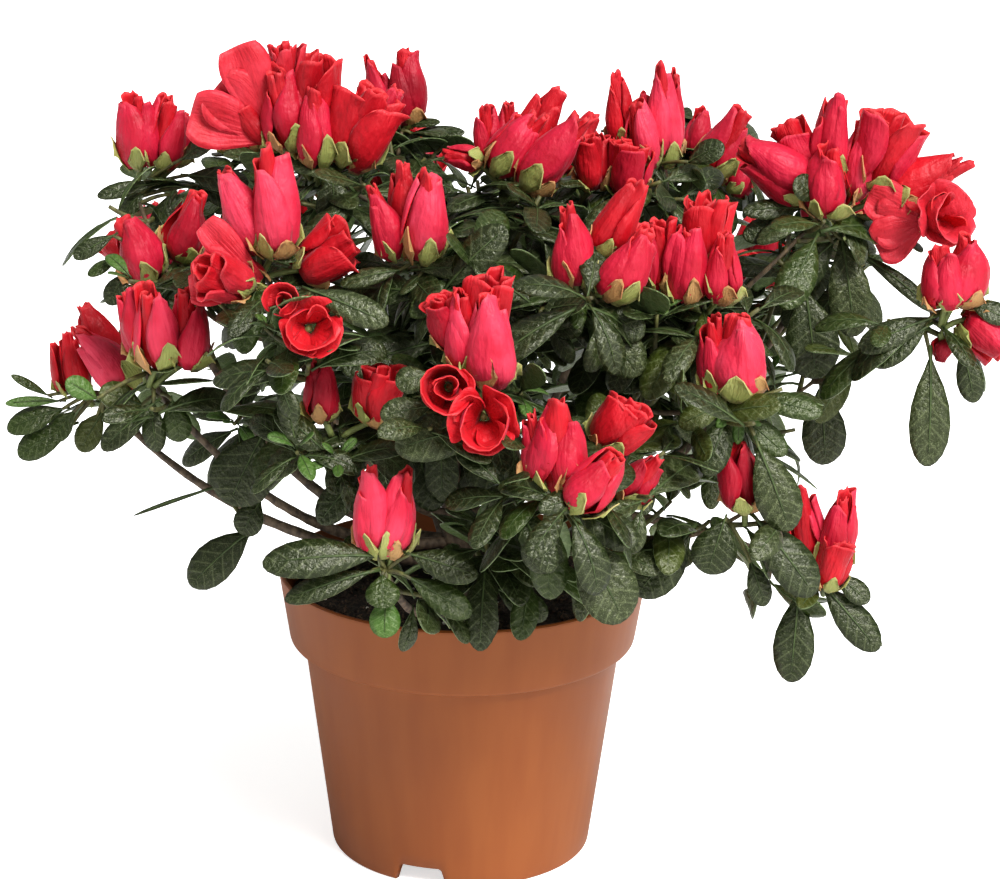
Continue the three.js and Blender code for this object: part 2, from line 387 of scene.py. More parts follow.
class GroupMaker:
    """Builds a shader node group whose inputs are a place and numbers, and outputs are values."""

    def __init__(self, shared: Shared, inputs: dict[str, float], outputs: list[str]) -> None:
        """Makes the group's sockets.

        Args:
            shared: Which group it is.
            inputs: The number inputs and their defaults.
            outputs: The names of the outputs.
        """
        self.tree = bpy.data.node_groups.new(shared.value, "ShaderNodeTree")
        self.socket("Place", "INPUT", "NodeSocketVector")
        for label, value in inputs.items():
            self.socket(label, "INPUT").default_value = value
        for label in outputs:
            self.socket(label, "OUTPUT")
        self.entry = self.tree.nodes.new("NodeGroupInput").outputs
        self.exit = self.tree.nodes.new("NodeGroupOutput").inputs

    def socket(
        self, label: str, way: str, kind: str = "NodeSocketFloat"
    ) -> bpy.types.NodeTreeInterfaceSocket:
        """Adds one named input or output."""
        return self.tree.interface.new_socket(label, in_out=way, socket_type=kind)

    def node(self, kind: str, inputs: dict | None = None, **settings: object) -> bpy.types.Node:
        """Adds a node inside the group, as add_node does."""
        return add_node(self.tree, kind, inputs, **settings)

    def value(self, operation: str, first: object, second: object = 0.0, **more: bool) -> Socket:
        """Adds one sum inside the group and gives its result."""
        made = self.node("ShaderNodeMath", {0: first, 1: second}, operation=operation, **more)
        return made.outputs[0]

    def noise(self, place: Socket, scale: object, detail: float, rough: float = 0.5) -> Socket:
        """Adds a noise inside the group and gives its strength."""
        inputs = {"Vector": place, "Scale": scale, "Detail": detail, "Roughness": rough}
        return self.node("ShaderNodeTexNoise", inputs).outputs["Fac"]

    def give(self, **results: Socket) -> bpy.types.NodeTree:
        """Feeds the outputs and gives the finished group."""
        for label, socket in results.items():
            self.tree.links.new(socket, self.exit[label])
        return self.tree


def fleck_group() -> bpy.types.NodeTree:
    """Builds the fine flecks on leaves and peat.

    The mask is the part of a fine noise, plus 0.4 of a coarse one, that lies above the level.

    Returns:
        A group with Place, Grain and Level inputs and Mask and Mottle outputs.
    """
    maker = GroupMaker(Shared.FLECKS, {"Grain": 1400.0, "Level": 0.62}, ["Mask", "Mottle"])
    place, grain, level = (maker.entry[name] for name in ("Place", "Grain", "Level"))
    fine = maker.noise(place, grain, 2.0, 0.6)
    coarse = maker.noise(place, maker.value("MULTIPLY", grain, 0.17), 3.0)
    raised = maker.value("ADD", fine, maker.value("MULTIPLY", coarse, 0.4))
    over = maker.value("SUBTRACT", raised, maker.value("ADD", level, 0.20))
    mask = maker.value("ADD", maker.value("MULTIPLY", over, 14.0), use_clamp=True)
    return maker.give(Mask=mask, Mottle=coarse)


def vein_group() -> bpy.types.NodeTree:
    """Builds side veins from surface coordinates: lines that slant from the midrib to the edge.

    The lines lie where the place along the leaf, less a share of the distance from its middle,
    passes a whole number of spacings.

    Returns:
        A group with Place, Count and Slant inputs and Line and Swell outputs.
    """
    maker = GroupMaker(Shared.VEINS, {"Count": 8.0, "Slant": 0.3}, ["Line", "Swell"])
    place, count, slant = (maker.entry[name] for name in ("Place", "Count", "Slant"))
    split = maker.node("ShaderNodeSeparateXYZ", {0: place}).outputs
    off = maker.value("ABSOLUTE", maker.value("SUBTRACT", split["X"], 0.5))
    along = maker.value("SUBTRACT", split["Y"], maker.value("MULTIPLY", off, slant))
    phase = maker.value("FRACT", maker.value("MULTIPLY", along, count))
    middle = maker.value("ABSOLUTE", maker.value("SUBTRACT", phase, 0.5))
    line = maker.node("ShaderNodeMapRange", {"Value": middle, "From Min": 0.38, "From Max": 0.5})
    return maker.give(Line=line.outputs["Result"], Swell=middle)


def streak_group() -> bpy.types.NodeTree:
    """Builds long streaks: noise squeezed along one way, for petals, bark and drawn plastic.

    Returns:
        A group with Place, Fine, Coarse and Stretch inputs and Streak and Cloud outputs.
    """
    defaults = {"Fine": 60.0, "Coarse": 6.0, "Stretch": 0.1}
    maker = GroupMaker(Shared.STREAKS, defaults, ["Streak", "Cloud"])
    place, fine, coarse, stretch = (maker.entry[name] for name in ("Place", *defaults))
    split = maker.node("ShaderNodeSeparateXYZ", {0: place}).outputs
    squeezed = maker.value("MULTIPLY", split[2], stretch)
    drawn = maker.node("ShaderNodeCombineXYZ", {0: split[0], 1: split[1], 2: squeezed})
    return maker.give(
        Streak=maker.noise(drawn.outputs[0], fine, 3.0), Cloud=maker.noise(place, coarse, 2.0)
    )


GROUP_BUILDERS = {
    Shared.FLECKS: fleck_group,
    Shared.VEINS: vein_group,
    Shared.STREAKS: streak_group,
}


@dataclass(frozen=True)
class LeafFinish:
    """A satin leaf face: a plain green, mottled, with pale flecks and slanting side veins."""

    name: str
    colour: tuple
    deep: tuple
    flecks: float = 0.20
    fleck: tuple = (0.35, 0.40, 0.21)
    veins: float = 0.16
    roughness: float = 0.31
    grain: float = 4000.0
    level: float = 0.57

    def material(self) -> bpy.types.Material:
        """Builds the material."""
        shading = Shading(self.name)
        flecks = shading.group(
            Shared.FLECKS, Place=shading.place(), Grain=self.grain, Level=self.level
        )
        veins = shading.group(Shared.VEINS, Place=shading.surface())
        tone = shading.mix(flecks["Mottle"], self.deep, self.colour)
        lined = shading.mix(shading.times(veins["Line"], self.veins), tone, self.fleck)
        dusted = shading.mix(shading.times(flecks["Mask"], self.flecks), lined, self.fleck)
        swell = shading.bump(veins["Swell"], 0.16, 0.0008)
        pucker = shading.bump(flecks["Mottle"], 0.40, 0.0017, (swell,))
        dust = shading.bump(flecks["Mask"], 0.3, 0.0002, (pucker,))
        return shading.wear(
            Base_Color=dusted, Roughness=self.roughness, Normal=dust, Specular_IOR_Level=0.52,
            Specular_Tint=(1.0, 0.98, 0.84, 1.0),
        )


@dataclass(frozen=True)
class PetalFinish:
    """A soft petal face: one red, streaked along its length, paler towards its free edge."""

    name: str
    colour: tuple
    deep: tuple
    edge: tuple
    edging: float = 0.45
    glow: float = 0.05
    roughness: float = 0.50

    def material(self) -> bpy.types.Material:
        """Builds the material."""
        shading = Shading(self.name)
        split = shading.node("ShaderNodeSeparateXYZ", {0: shading.surface()}).outputs
        upright = shading.node("ShaderNodeCombineXYZ", {0: split["X"], 2: split["Y"]})
        streaks = shading.group(
            Shared.STREAKS, Place=upright.outputs[0], Fine=16.0, Coarse=3.0, Stretch=0.16
        )
        clouds = shading.group(
            Shared.STREAKS, Place=shading.place(), Fine=330.0, Coarse=90.0, Stretch=0.6
        )
        tone = shading.mix(
            shading.stretch(clouds["Cloud"], 0.3, 0.66), self.deep, self.colour
        )
        rim = shading.stretch(split["Y"], 0.88, 1.0, 0.0, self.edging)
        ribs = shading.bump(streaks["Streak"], 0.5, 0.0011)
        crimp = shading.bump(clouds["Streak"], 0.55, 0.0014, (ribs,))
        return shading.wear(
            Base_Color=shading.mix(rim, tone, self.edge), Roughness=self.roughness, Normal=crimp,
            Subsurface_Weight=self.glow, Subsurface_Scale=0.004,
            Subsurface_Radius=(1.0, 0.25, 0.2), Specular_IOR_Level=0.35,
            Sheen_Weight=0.12, Sheen_Roughness=0.35, Sheen_Tint=(1.0, 0.55, 0.6, 1.0),
        )


@dataclass(frozen=True)
class StemFinish:
    """Bark or green skin: two tones streaked by fine noise, with a low relief."""

    name: str
    colour: tuple
    deep: tuple
    roughness: float = 0.7
    relief: float = 0.0006
    fine: float = 500.0

    def material(self) -> bpy.types.Material:
        """Builds the material."""
        shading = Shading(self.name)
        streaks = shading.group(
            Shared.STREAKS, Place=shading.place(), Fine=self.fine, Coarse=70.0, Stretch=0.5
        )
        share = shading.stretch(streaks["Streak"], 0.35, 0.65)
        return shading.wear(
            Base_Color=shading.mix(share, self.deep, self.colour), Roughness=self.roughness,
            Normal=shading.bump(streaks["Streak"], 0.7, self.relief),
        )


@dataclass(frozen=True)
class PotFinish:
    """Satin moulded plastic: terracotta, clouded a little, drawn in faint upright streaks."""

    name: str = "terracotta_plastic"
    colour: tuple = (0.285, 0.086, 0.020)
    deep: tuple = (0.255, 0.072, 0.016)

    def material(self) -> bpy.types.Material:
        """Builds the material."""
        shading = Shading(self.name)
        streaks = shading.group(
            Shared.STREAKS, Place=shading.place(), Fine=150.0, Coarse=22.0, Stretch=0.05
        )
        mixed = shading.times(streaks["Streak"], streaks["Cloud"])
        share = shading.stretch(mixed, 0.14, 0.36)
        return shading.wear(
            Base_Color=shading.mix(share, self.deep, self.colour),
            Roughness=shading.stretch(streaks["Cloud"], 0.3, 0.7, 0.42, 0.52),
            Normal=shading.bump(streaks["Streak"], 0.12, 0.0006), Specular_IOR_Level=0.4,
        )


@dataclass(frozen=True)
class PeatFinish:
    """Moist peat: nearly black crumbs with paler fibres."""

    name: str
    colour: tuple
    deep: tuple

    def material(self) -> bpy.types.Material:
        """Builds the material."""
        shading = Shading(self.name)
        flecks = shading.group(Shared.FLECKS, Place=shading.place(), Grain=900.0, Level=0.5)
        return shading.wear(
            Base_Color=shading.mix(flecks["Mask"], self.deep, self.colour), Roughness=0.8,
            Normal=shading.bump(flecks["Mottle"], 0.8, 0.0015),
        )


@dataclass(frozen=True)
class PaperFinish:
    """The plain pale floor, a little brighter to the eye than the light that it sends back."""

    name: str = "pale_floor"
    glow: float = 0.55
    colour: tuple = (0.97, 0.97, 0.97)

    def material(self) -> bpy.types.Material:
        """Builds the material."""
        shading = Shading(self.name)
        seen = shading.node("ShaderNodeLightPath").outputs["Is Camera Ray"]
        return shading.wear(
            Base_Color=self.colour, Roughness=0.9, Specular_IOR_Level=0.1,
            Emission_Color=(1.0, 1.0, 1.0), Emission_Strength=shading.times(seen, self.glow),
        )


# ---- pot and soil


@dataclass
class Pot:
    """A tapered plastic pot: wall, rim band with a ledge under it, raised floor, foot ring."""

    height: float = 102.7
    rim_radius: float = 65.0
    band_height: float = 25.2
    band_foot_radius: float = 61.2
    body_top_radius: float = 56.4
    base_radius: float = 46.7
    wall: float = 1.6
    floor_rise: float = 8.0
    rim_edge: float = 1.0
    notch_turn: float = 253.0
    notch_count: int = 3
    notch_width: float = 17.0
    notch_height: float = 6.5
    notch_corner: float = 2.2
    notch_start: float = 0.4
    lift_below_floor: float = 0.7
    foot_walls: float = 2.6
    drain_count: int = 6
    drain_radius: float = 4.0
    drain_ring: float = 30.0
    drain_sides: int = 24
    sides: int = 288
    axis_radius: float = 0.02
    corner_steps: int = 5
    run_step: float = 5.0
    run_most: int = 14

    def corners(self) -> list[tuple[float, float, float]]:
        """Lists the section's corners as radius, height and how far each corner is rounded."""
        ledge = self.height - self.band_height
        slope = (self.body_top_radius - self.base_radius) / ledge
        inner_base = self.base_radius + slope * self.floor_rise - self.wall
        inner_ring = self.base_radius - 2.0 * self.wall
        return [
            (0.0, self.floor_rise, 0.0),
            (inner_ring - 3.0, self.floor_rise, 0.0),
            (inner_ring, self.floor_rise - 0.6, 1.0),
            (inner_ring, 0.0, 0.5),
            (self.base_radius - 0.4, 0.0, 1.1),
            (self.body_top_radius, ledge, 0.8),
            (self.band_foot_radius, ledge, 1.6),
            (self.rim_radius, self.height - self.rim_edge, 0.5),
            (self.rim_radius - 0.3, self.height, 0.6),
            (self.rim_radius - self.wall, self.height, 0.5),
            (self.band_foot_radius - self.wall, ledge + self.wall, 0.8),
            (self.body_top_radius - self.wall, ledge + self.wall, 0.8),
            (inner_base, self.floor_rise + self.wall, 2.0),
            (0.0, self.floor_rise + self.wall, 0.0),
        ]

    def section(self) -> Array:
        """Rounds the section's corners and adds points along its longer runs.

        Each rounded corner is a quadratic from a point before the corner to one after it.

        Returns:
            K by 2 radii and heights.
        """
        corners = np.array(self.corners())
        places, rounds = corners[:, :2], corners[:, 2]
        line = [places[0]]
        for index in range(1, len(places) - 1):
            here = places[index]
            before = here + rounds[index] * unit(places[index - 1] - here)
            after = here + rounds[index] * unit(places[index + 1] - here)
            t = np.linspace(0, 1, self.corner_steps)[:, None]
            line.extend((1 - t) ** 2 * before + 2 * t * (1 - t) * here + t**2 * after)
        line.append(places[-1])
        points = np.array(line)
        gaps = np.linalg.norm(np.diff(points, axis=0), axis=1)
        counts = np.clip(np.ceil(gaps / self.run_step), 1, self.run_most).astype(int)
        filled = [
            points[i] + (points[i + 1] - points[i]) * np.arange(n)[:, None] / n
            for i, n in enumerate(counts)
        ]
        return np.concatenate([*filled, points[-1:]])

    def lift(self, turn: Array) -> Array:
        """Tells how high the foot's edge is: a step with quarter-circle corners at each notch.

        Args:
            turn: Turns about the pot's axis, in radians.

        Returns:
            The edge's height at each turn.
        """
        spacing = FULL_TURN / self.notch_count
        off = np.abs((turn - math.radians(self.notch_turn) + spacing / 2) % spacing - spacing / 2)
        inside = self.notch_width / 2 - off * self.base_radius
        corner = np.clip((inside + self.notch_start) / self.notch_corner, 0.0, 1.0)
        return self.notch_height * np.sqrt(1.0 - (1.0 - corner) ** 2)

    def build(self) -> bpy.types.Object:
        """Turns the section about the pot's axis, lifts the notches and drills the drains."""
        section = self.section()
        turn = np.linspace(0, FULL_TURN, self.sides, endpoint=False)
        radius = np.maximum(section[:, 0], self.axis_radius)[:, None] * np.ones_like(turn)
        height = section[:, 1][:, None] * np.ones_like(turn)
        reach = self.floor_rise - self.lift_below_floor
        off = np.abs(section[:, 0] - self.base_radius)[:, None]
        foot = off < self.foot_walls * self.wall
        raised = self.lift(turn)[None] * np.clip(1.0 - height / reach, 0.0, 1.0)
        height = np.where(foot, height + raised, height)
        rings = np.stack([radius * np.cos(turn), radius * np.sin(turn), height], axis=-1)
        piece = Piece("plastic_pot", "pot", [PotFinish()], ["pot"])
        piece.add_tubes(rings[None])
        made = piece.write()
        self.drill(made)
        return made

    def drill(self, pot: bpy.types.Object) -> None:
        """Cuts the round drain holes through the raised floor."""
        turns = np.linspace(0, FULL_TURN, self.drain_count, endpoint=False)
        middles = self.drain_ring * np.stack([np.cos(turns), np.sin(turns)], axis=1)
        heights = self.floor_rise + self.wall * np.array([-2.0, 3.0])
        upright = np.tile(heights[None, :, None], (len(turns), 1, 1))
        paths = np.concatenate([np.repeat(middles[:, None], 2, axis=1), upright], axis=2)
        radii = np.full((len(turns), 2), self.drain_radius)
        piece = Piece("drain_cutter", "pot", [PotFinish()])
        piece.add_tubes(tube_rings(paths, radii, self.drain_sides))
        cutter = piece.write()
        cut = pot.modifiers.new("drains", "BOOLEAN")
        cut.operation, cut.object, cut.solver = "DIFFERENCE", cutter, "EXACT"
        bpy.context.view_layer.update()
        drilled = pot.evaluated_get(bpy.context.evaluated_depsgraph_get())
        mesh = bpy.data.meshes.new_from_object(drilled)
        pot.modifiers.clear()
        pot.data = mesh
        bpy.data.objects.remove(cutter)


@dataclass
class Soil:
    """Peat heaped a little round the trunk: an uneven top, crumbs, fibres and white specks."""

    heap: float = 2.0
    heap_radius: float = 15.0
    ledge_depth: float = 15.0
    settling: float = 0.5
    wave_count: int = 14
    wave_pace: float = 0.16
    wave_height: float = 0.22
    roughness: float = 0.35
    sides: int = 160
    rings: int = 44
    crumbs: int = 900
    crumb_sizes: tuple = (0.5, 2.1)
    fibres: int = 170
    fibre_sizes: tuple = (2.0, 6.0)
    fibre_radius: float = 0.22
    specks: int = 46
    speck_sizes: tuple = (0.4, 1.1)
    seed: int = 11

    def __post_init__(self) -> None:
        """Takes the soil's place from the frame."""
        low, high = node_box("soil")
        self.middle = (low + high)[:2] / 2
        self.radius = (high - low)[0] / 2
        self.bottom, self.top = low[2], high[2]
        self.rng = np.random.default_rng(self.seed)
        self.waves = self.rng.normal(0.0, 1.0, (self.wave_count, 2)) * self.wave_pace
        self.phases = self.rng.uniform(0, FULL_TURN, self.wave_count)

    def height(self, x: Array, y: Array) -> Array:
        """Gives the top's height: a low cone round the trunk, plus a sum of small sine waves.

        Args:
            x: Places to the right.
            y: Places to the back.

        Returns:
            The height at each place.
        """
        out = np.hypot(x, y)
        cone = self.heap * np.clip((self.radius - out) / (self.radius - self.heap_radius), 0, 1)
        ripple = sum(
            np.sin(wave[0] * 3 * x + wave[1] * 3 * y + phase)
            for wave, phase in zip(self.waves, self.phases)
        )
        return self.top - self.heap - self.settling + cone + self.wave_height * ripple

    def build(self) -> list[bpy.types.Object]:
        """Builds the body of peat, its crumbs and fibres, and the white specks."""
        return [self.body(), self.litter(), self.white_specks()]

    def body(self) -> bpy.types.Object:
        """Builds the peat as a closed lathe whose top is uneven."""
        turn = np.linspace(0, FULL_TURN, self.sides, endpoint=False)
        under = np.array([0.01, 0.74, 0.885, 0.96])
        ledge = self.top - self.ledge_depth
        depths = np.array([self.bottom, self.bottom, ledge, ledge + 0.4])
        out = np.concatenate([under, np.linspace(0.995, 0.004, self.rings)])
        radius = (out * self.radius)[:, None] * np.ones_like(turn)
        x, y = radius * np.cos(turn), radius * np.sin(turn)
        height = self.height(x, y) + self.rng.normal(0.0, self.roughness, x.shape)
        height[: len(under)] = depths[:, None]
        finish = PeatFinish("moist_peat", (0.050, 0.032, 0.022), (0.012, 0.008, 0.006))
        piece = Piece("peat_bed", "peat", [finish], ["soil"])
        piece.add_tubes(np.stack([x, y, height], axis=-1)[None])
        return piece.write()

    def scatter(self, count: int, sizes: tuple) -> tuple[Array, Array]:
        """Places points over the soil's top, with a size for each.

        Args:
            count: How many.
            sizes: The smallest and the largest size.

        Returns:
            N by 3 places and N sizes, more small than large.
        """
        turn = self.rng.uniform(0, FULL_TURN, count)
        out = (self.radius - 2.0) * np.sqrt(self.rng.uniform(0.02, 1, count))
        size = sizes[0] + (sizes[1] - sizes[0]) * self.rng.uniform(0, 1, count) ** 2.5
        x, y = out * np.cos(turn), out * np.sin(turn)
        return np.stack([x, y, self.height(x, y)], axis=1), size

    def lumps(self, places: Array, sizes: Array) -> Array:
        """Makes small uneven lumps: four rings of six points, each pushed in or out at random.

        Args:
            places: N by 3 middles.
            sizes: N sizes.

        Returns:
            N by 4 by 6 by 3 points.
        """
        count = len(places)
        axis = unit(self.rng.normal(0, 1, (count, 3)))
        run = np.array([-0.8, -0.35, 0.35, 0.8])
        paths = places[:, None] + sizes[:, None, None] * run[None, :, None] * axis[:, None]
        radii = sizes[:, None] * np.array([0.4, 0.9, 0.9, 0.4])
        rings = tube_rings(paths, radii, 6)
        push = self.rng.uniform(0.7, 1.3, rings.shape[:3])[..., None]
        return paths[:, :, None] + push * (rings - paths[:, :, None])

    def litter(self) -> bpy.types.Object:
        """Builds the loose crumbs and the fibres that lie on the peat."""
        finish = PeatFinish("crumbled_peat", (0.090, 0.055, 0.034), (0.020, 0.013, 0.009))
        piece = Piece("peat_litter", "peat", [finish])
        places, sizes = self.scatter(self.crumbs, self.crumb_sizes)
        piece.add_tubes(self.lumps(places, sizes))
        roots, sizes = self.scatter(self.fibres, self.fibre_sizes)
        roots = roots * np.array([0.92, 0.92, 1.0])
        turn = self.rng.uniform(0, FULL_TURN, self.fibres)
        reach = np.stack([np.cos(turn), np.sin(turn), self.rng.uniform(-0.1, 0.3, len(turn))], axis=1)
        paths = bend(
            roots + 0.4 * UP, roots + sizes[:, None] * (0.5 * reach + 0.3 * UP),
            roots + sizes[:, None] * reach * 0.9, 4,
        )
        piece.add_tubes(tube_rings(paths, np.full(paths.shape[:2], self.fibre_radius), 4))
        return piece.write()

    def white_specks(self) -> bpy.types.Object:
        """Builds the pale grains mixed into the peat."""
        finish = PeatFinish("pale_grain", (0.75, 0.73, 0.68), (0.45, 0.42, 0.37))
        piece = Piece("peat_grains", "peat", [finish])
        places, sizes = self.scatter(self.specks, self.speck_sizes)
        piece.add_tubes(self.lumps(places + 0.4 * UP, sizes))
        return piece.write()


# ---- limbs and shoots


@dataclass(frozen=True)
class Bough:
    """One limb: its node, the mass it ends in, how far its middle swings left, and its sag."""

    node: str
    mass: str
    swing: float = 0.0
    sag: float = 0.16


BOUGHS = (
    Bough("left_low_bough", "far_left", 34, 0.02),
    Bough("front_low_bough", "front_low_pair"),
    Bough("right_low_bough", "right_low_trio", 0, -0.08),
    Bough("back_bough", "back_left_shoulder", 4),
    Bough("left_front_bough", "left_trio", -6),
    Bough("front_right_bough", "front_open_pair", 6),
    Bough("right_bough", "back_right_shoulder", -6),
    Bough("back_left_bough", "far_back_left", 8),
    Bough("left_high_bough", "left_front_crest"),
    Bough("right_high_bough", "right_front_crest"),
    Bough("back_right_bough", "back_shoulder"),
    Bough("middle_bough", "heart_front"),
)
BOUGH_MASSES = {bough.mass for bough in BOUGHS}
NOT_MASSES = {"pot", "soil", "trunk", *(bough.node for bough in BOUGHS)}


@dataclass
class Mass:
    """One cushion of the frame: where its leading shoot ends, and how far its leaves may go."""

    name: str
    shift: tuple = (0.0, 0.0, 0.0)
    seat_share: float = 0.28
    heart: tuple = (0.0, 0.0, 150.0)

    def __post_init__(self) -> None:
        """Takes the mass's place from the frame, and the way that its shoot grows."""
        low, high = node_box(self.name)
        self.middle = (low + high) / 2
        self.half = (high - low) / 2
        seat = np.array([*self.middle[:2], low[2] + self.seat_share * (high - low)[2]])
        self.seat = seat + np.array(self.shift)
        self.outward = unit(self.seat - np.array(self.heart))


@dataclass
class Limbs:
    """The trunk, the twelve boughs, and a leader from the nearest limb to each other mass."""

    masses: dict
    trunk_length: float = 36.0
    flare_radius: float = 11.0
    trunk_radius: float = 7.0
    fork_radius: float = 5.0
    flare_height: float = 8.0
    lean: float = 3.0
    lean_turn: float = 200.0
    first_fork: float = 10.0
    fork_step: float = 9.0
    fork_turns: int = 3
    bough_foot: float = 2.4
    bough_tip: float = 0.9
    leader_foot: float = 1.0
    leader_tip: float = 0.7
    leader_swing: float = 0.06
    leader_sag: float = 0.14
    least_reach: float = 0.75
    back_cost: float = 1.5
    least_rise: float = 0.35
    down_cost: float = 1.2
    trunk_relief: float = 0.045
    bough_relief: float = 0.06
    leader_relief: float = 0.05
    steps: int = 41
    sides: int = 12
    trunk_steps: int = 46
    trunk_sides: int = 28
    trunk_below: float = 3.0
    trunk_above: float = 2.0
    leader_sides: int = 7
    seed: int = 5

    def __post_init__(self) -> None:
        """Works out the boughs' and the leaders' paths."""
        self.rng = np.random.default_rng(self.seed)
        self.foot = node_box("soil")[1][2] - 0.8
        forks = self.first_fork + self.fork_step * (np.arange(len(BOUGHS)) % self.fork_turns)
        starts = np.array([self.trunk_point(height) for height in forks])
        ends = np.array([self.masses[bough.mass].seat for bough in BOUGHS])
        along = unit(ends - starts)
        reach = np.linalg.norm(ends - starts, axis=1, keepdims=True)
        left = unit(np.cross(UP, along))
        swing = np.array([bough.swing for bough in BOUGHS])[:, None]
        sag = np.array([bough.sag for bough in BOUGHS])[:, None]
        through = (starts + ends) / 2 + swing * left - sag * reach * UP
        pull = 2 * through - (starts + ends) / 2
        self.boughs = bend(starts, pull, ends, self.steps)
        self.wood = [path[self.steps // 5: -self.steps // 8] for path in self.boughs]
        self.leaders = {}
        others = [mass for name, mass in self.masses.items() if name not in BOUGH_MASSES]
        for mass in sorted(others, key=lambda mass: np.hypot(*mass.seat[:2])):
            path = self.leader(mass)
            self.leaders[mass.name] = path
            self.wood.append(path[len(path) // 3: -2])
        for bough, path in zip(BOUGHS, self.boughs):
            self.leaders[bough.mass] = path[self.steps // 2:]

    def trunk_point(self, height: float) -> Array:
        """Gives the trunk's middle at a height above the soil, on its leaning axis.

        Args:
            height: Millimetres above the trunk's foot.

        Returns:
            The point.
        """
        turn = math.radians(self.lean_turn)
        out = self.lean * height / self.trunk_length
        return np.array([out * math.cos(turn), out * math.sin(turn), self.foot + height])

    def leader(self, mass: Mass) -> Array:
        """Grows a leader to a mass from the point of the wood so far that costs least.

        The cost is the distance, plus what it would have to come back in or down.

        Args:
            mass: Where the leader ends.

        Returns:
            Steps by 3 points from the limb to the mass's seat.
        """
        points = np.concatenate(self.wood)
        away = mass.seat - points
        distance = np.linalg.norm(away, axis=1)
        usual = self.least_reach * np.hypot(*mass.seat[:2])
        back = np.maximum(0, np.hypot(*points[:, :2].T) - usual)
        above = np.maximum(0, points[:, 2] + self.least_rise * distance - mass.seat[2])
        start = points[np.argmin(distance + self.back_cost * back + self.down_cost * above)]
        reach = np.linalg.norm(mass.seat - start)
        side = self.rng.normal(0, self.leader_swing, 3) * reach
        pull = (start + mass.seat) / 2 + side - self.leader_sag * reach * UP
        return bend(start, pull, mass.seat, self.steps // 2)[0]

    def relief(self, rings: Array, depth: float) -> Array:
        """Pushes each point of a limb in or out from its ring's middle, for knobs and ridges.

        Args:
            rings: N by rows by sides by 3 points.
            depth: The usual push, as a share of the radius.

        Returns:
            The rings with their relief.
        """
        hubs = rings.mean(axis=2, keepdims=True)
        ridges = self.rng.normal(0, 1, (len(rings), 1, rings.shape[2], 1))
        knobs = self.rng.normal(0, 1, (*rings.shape[:2], 1, 1))
        grain = self.rng.normal(0, 1, (*rings.shape[:3], 1))
        push = 1 + depth * (0.5 * ridges + 0.7 * knobs + 0.8 * grain)
        return hubs + push * (rings - hubs)

    def build(self) -> list[bpy.types.Object]:
        """Builds the trunk and boughs as one piece of bark, and the leaders as another."""
        finish = StemFinish("rough_bark", (0.165, 0.120, 0.080), (0.052, 0.036, 0.026))
        nodes = ["trunk", *(bough.node for bough in BOUGHS)]
        bark = Piece("barked_limbs", "bark", [finish], nodes)
        top = self.trunk_length + self.trunk_above
        heights = np.linspace(-self.trunk_below, top, self.trunk_steps)
        path = np.array([self.trunk_point(h) for h in heights])[None]
        share = np.clip(heights / self.trunk_length, 0, 1)
        fall = np.exp(-2 * np.maximum(heights, 0) / self.flare_height)
        flare = (self.flare_radius - self.trunk_radius) * fall
        radii = self.trunk_radius + (self.fork_radius - self.trunk_radius) * share + flare
        radii[-1] *= 0.6
        rings = tube_rings(path, radii[None], self.trunk_sides)
        bark.add_tubes(self.relief(rings, self.trunk_relief))
        taper = self.bough_foot + (self.bough_tip - self.bough_foot) * np.linspace(0, 1, self.steps)
        radii = np.tile(taper, (len(self.boughs), 1))
        rings = tube_rings(self.boughs, radii, self.sides)
        bark.add_tubes(self.relief(rings, self.bough_relief))
        finish = StemFinish("brown_twig", (0.150, 0.105, 0.058), (0.060, 0.043, 0.026))
        twigs = Piece("young_leaders", "bark", [finish])
        leaders = self.leaders.items()
        paths = np.array([path for name, path in leaders if name not in BOUGH_MASSES])
        taper = np.linspace(self.leader_foot, self.leader_tip, paths.shape[1])
        rings = tube_rings(paths, np.tile(taper, (len(paths), 1)), self.leader_sides)
        twigs.add_tubes(self.relief(rings, self.leader_relief))
        return [bark.write(), twigs.write()]


# ---- leaves


class Tone(Enum):
    """The greens that are dealt out to leaves, by the shoot that they grow on."""

    DARK = "dark"
    GREY = "grey"
    MIDDLE = "middle"
    OLIVE = "olive"
    YOUNG = "young"


LEAF_FACES = {
    Tone.DARK: LeafFinish("leaf_dark", (0.022, 0.034, 0.007), (0.008, 0.015, 0.003)),
    Tone.GREY: LeafFinish("leaf_grey", (0.041, 0.055, 0.015), (0.014, 0.022, 0.006), 0.34),
    Tone.MIDDLE: LeafFinish("leaf_middle", (0.037, 0.064, 0.008), (0.013, 0.027, 0.004)),
    Tone.OLIVE: LeafFinish("leaf_olive", (0.066, 0.084, 0.012), (0.028, 0.040, 0.007)),
    Tone.YOUNG: LeafFinish(
        "leaf_young", (0.085, 0.170, 0.030), (0.045, 0.105, 0.018), roughness=0.42
    ),
}


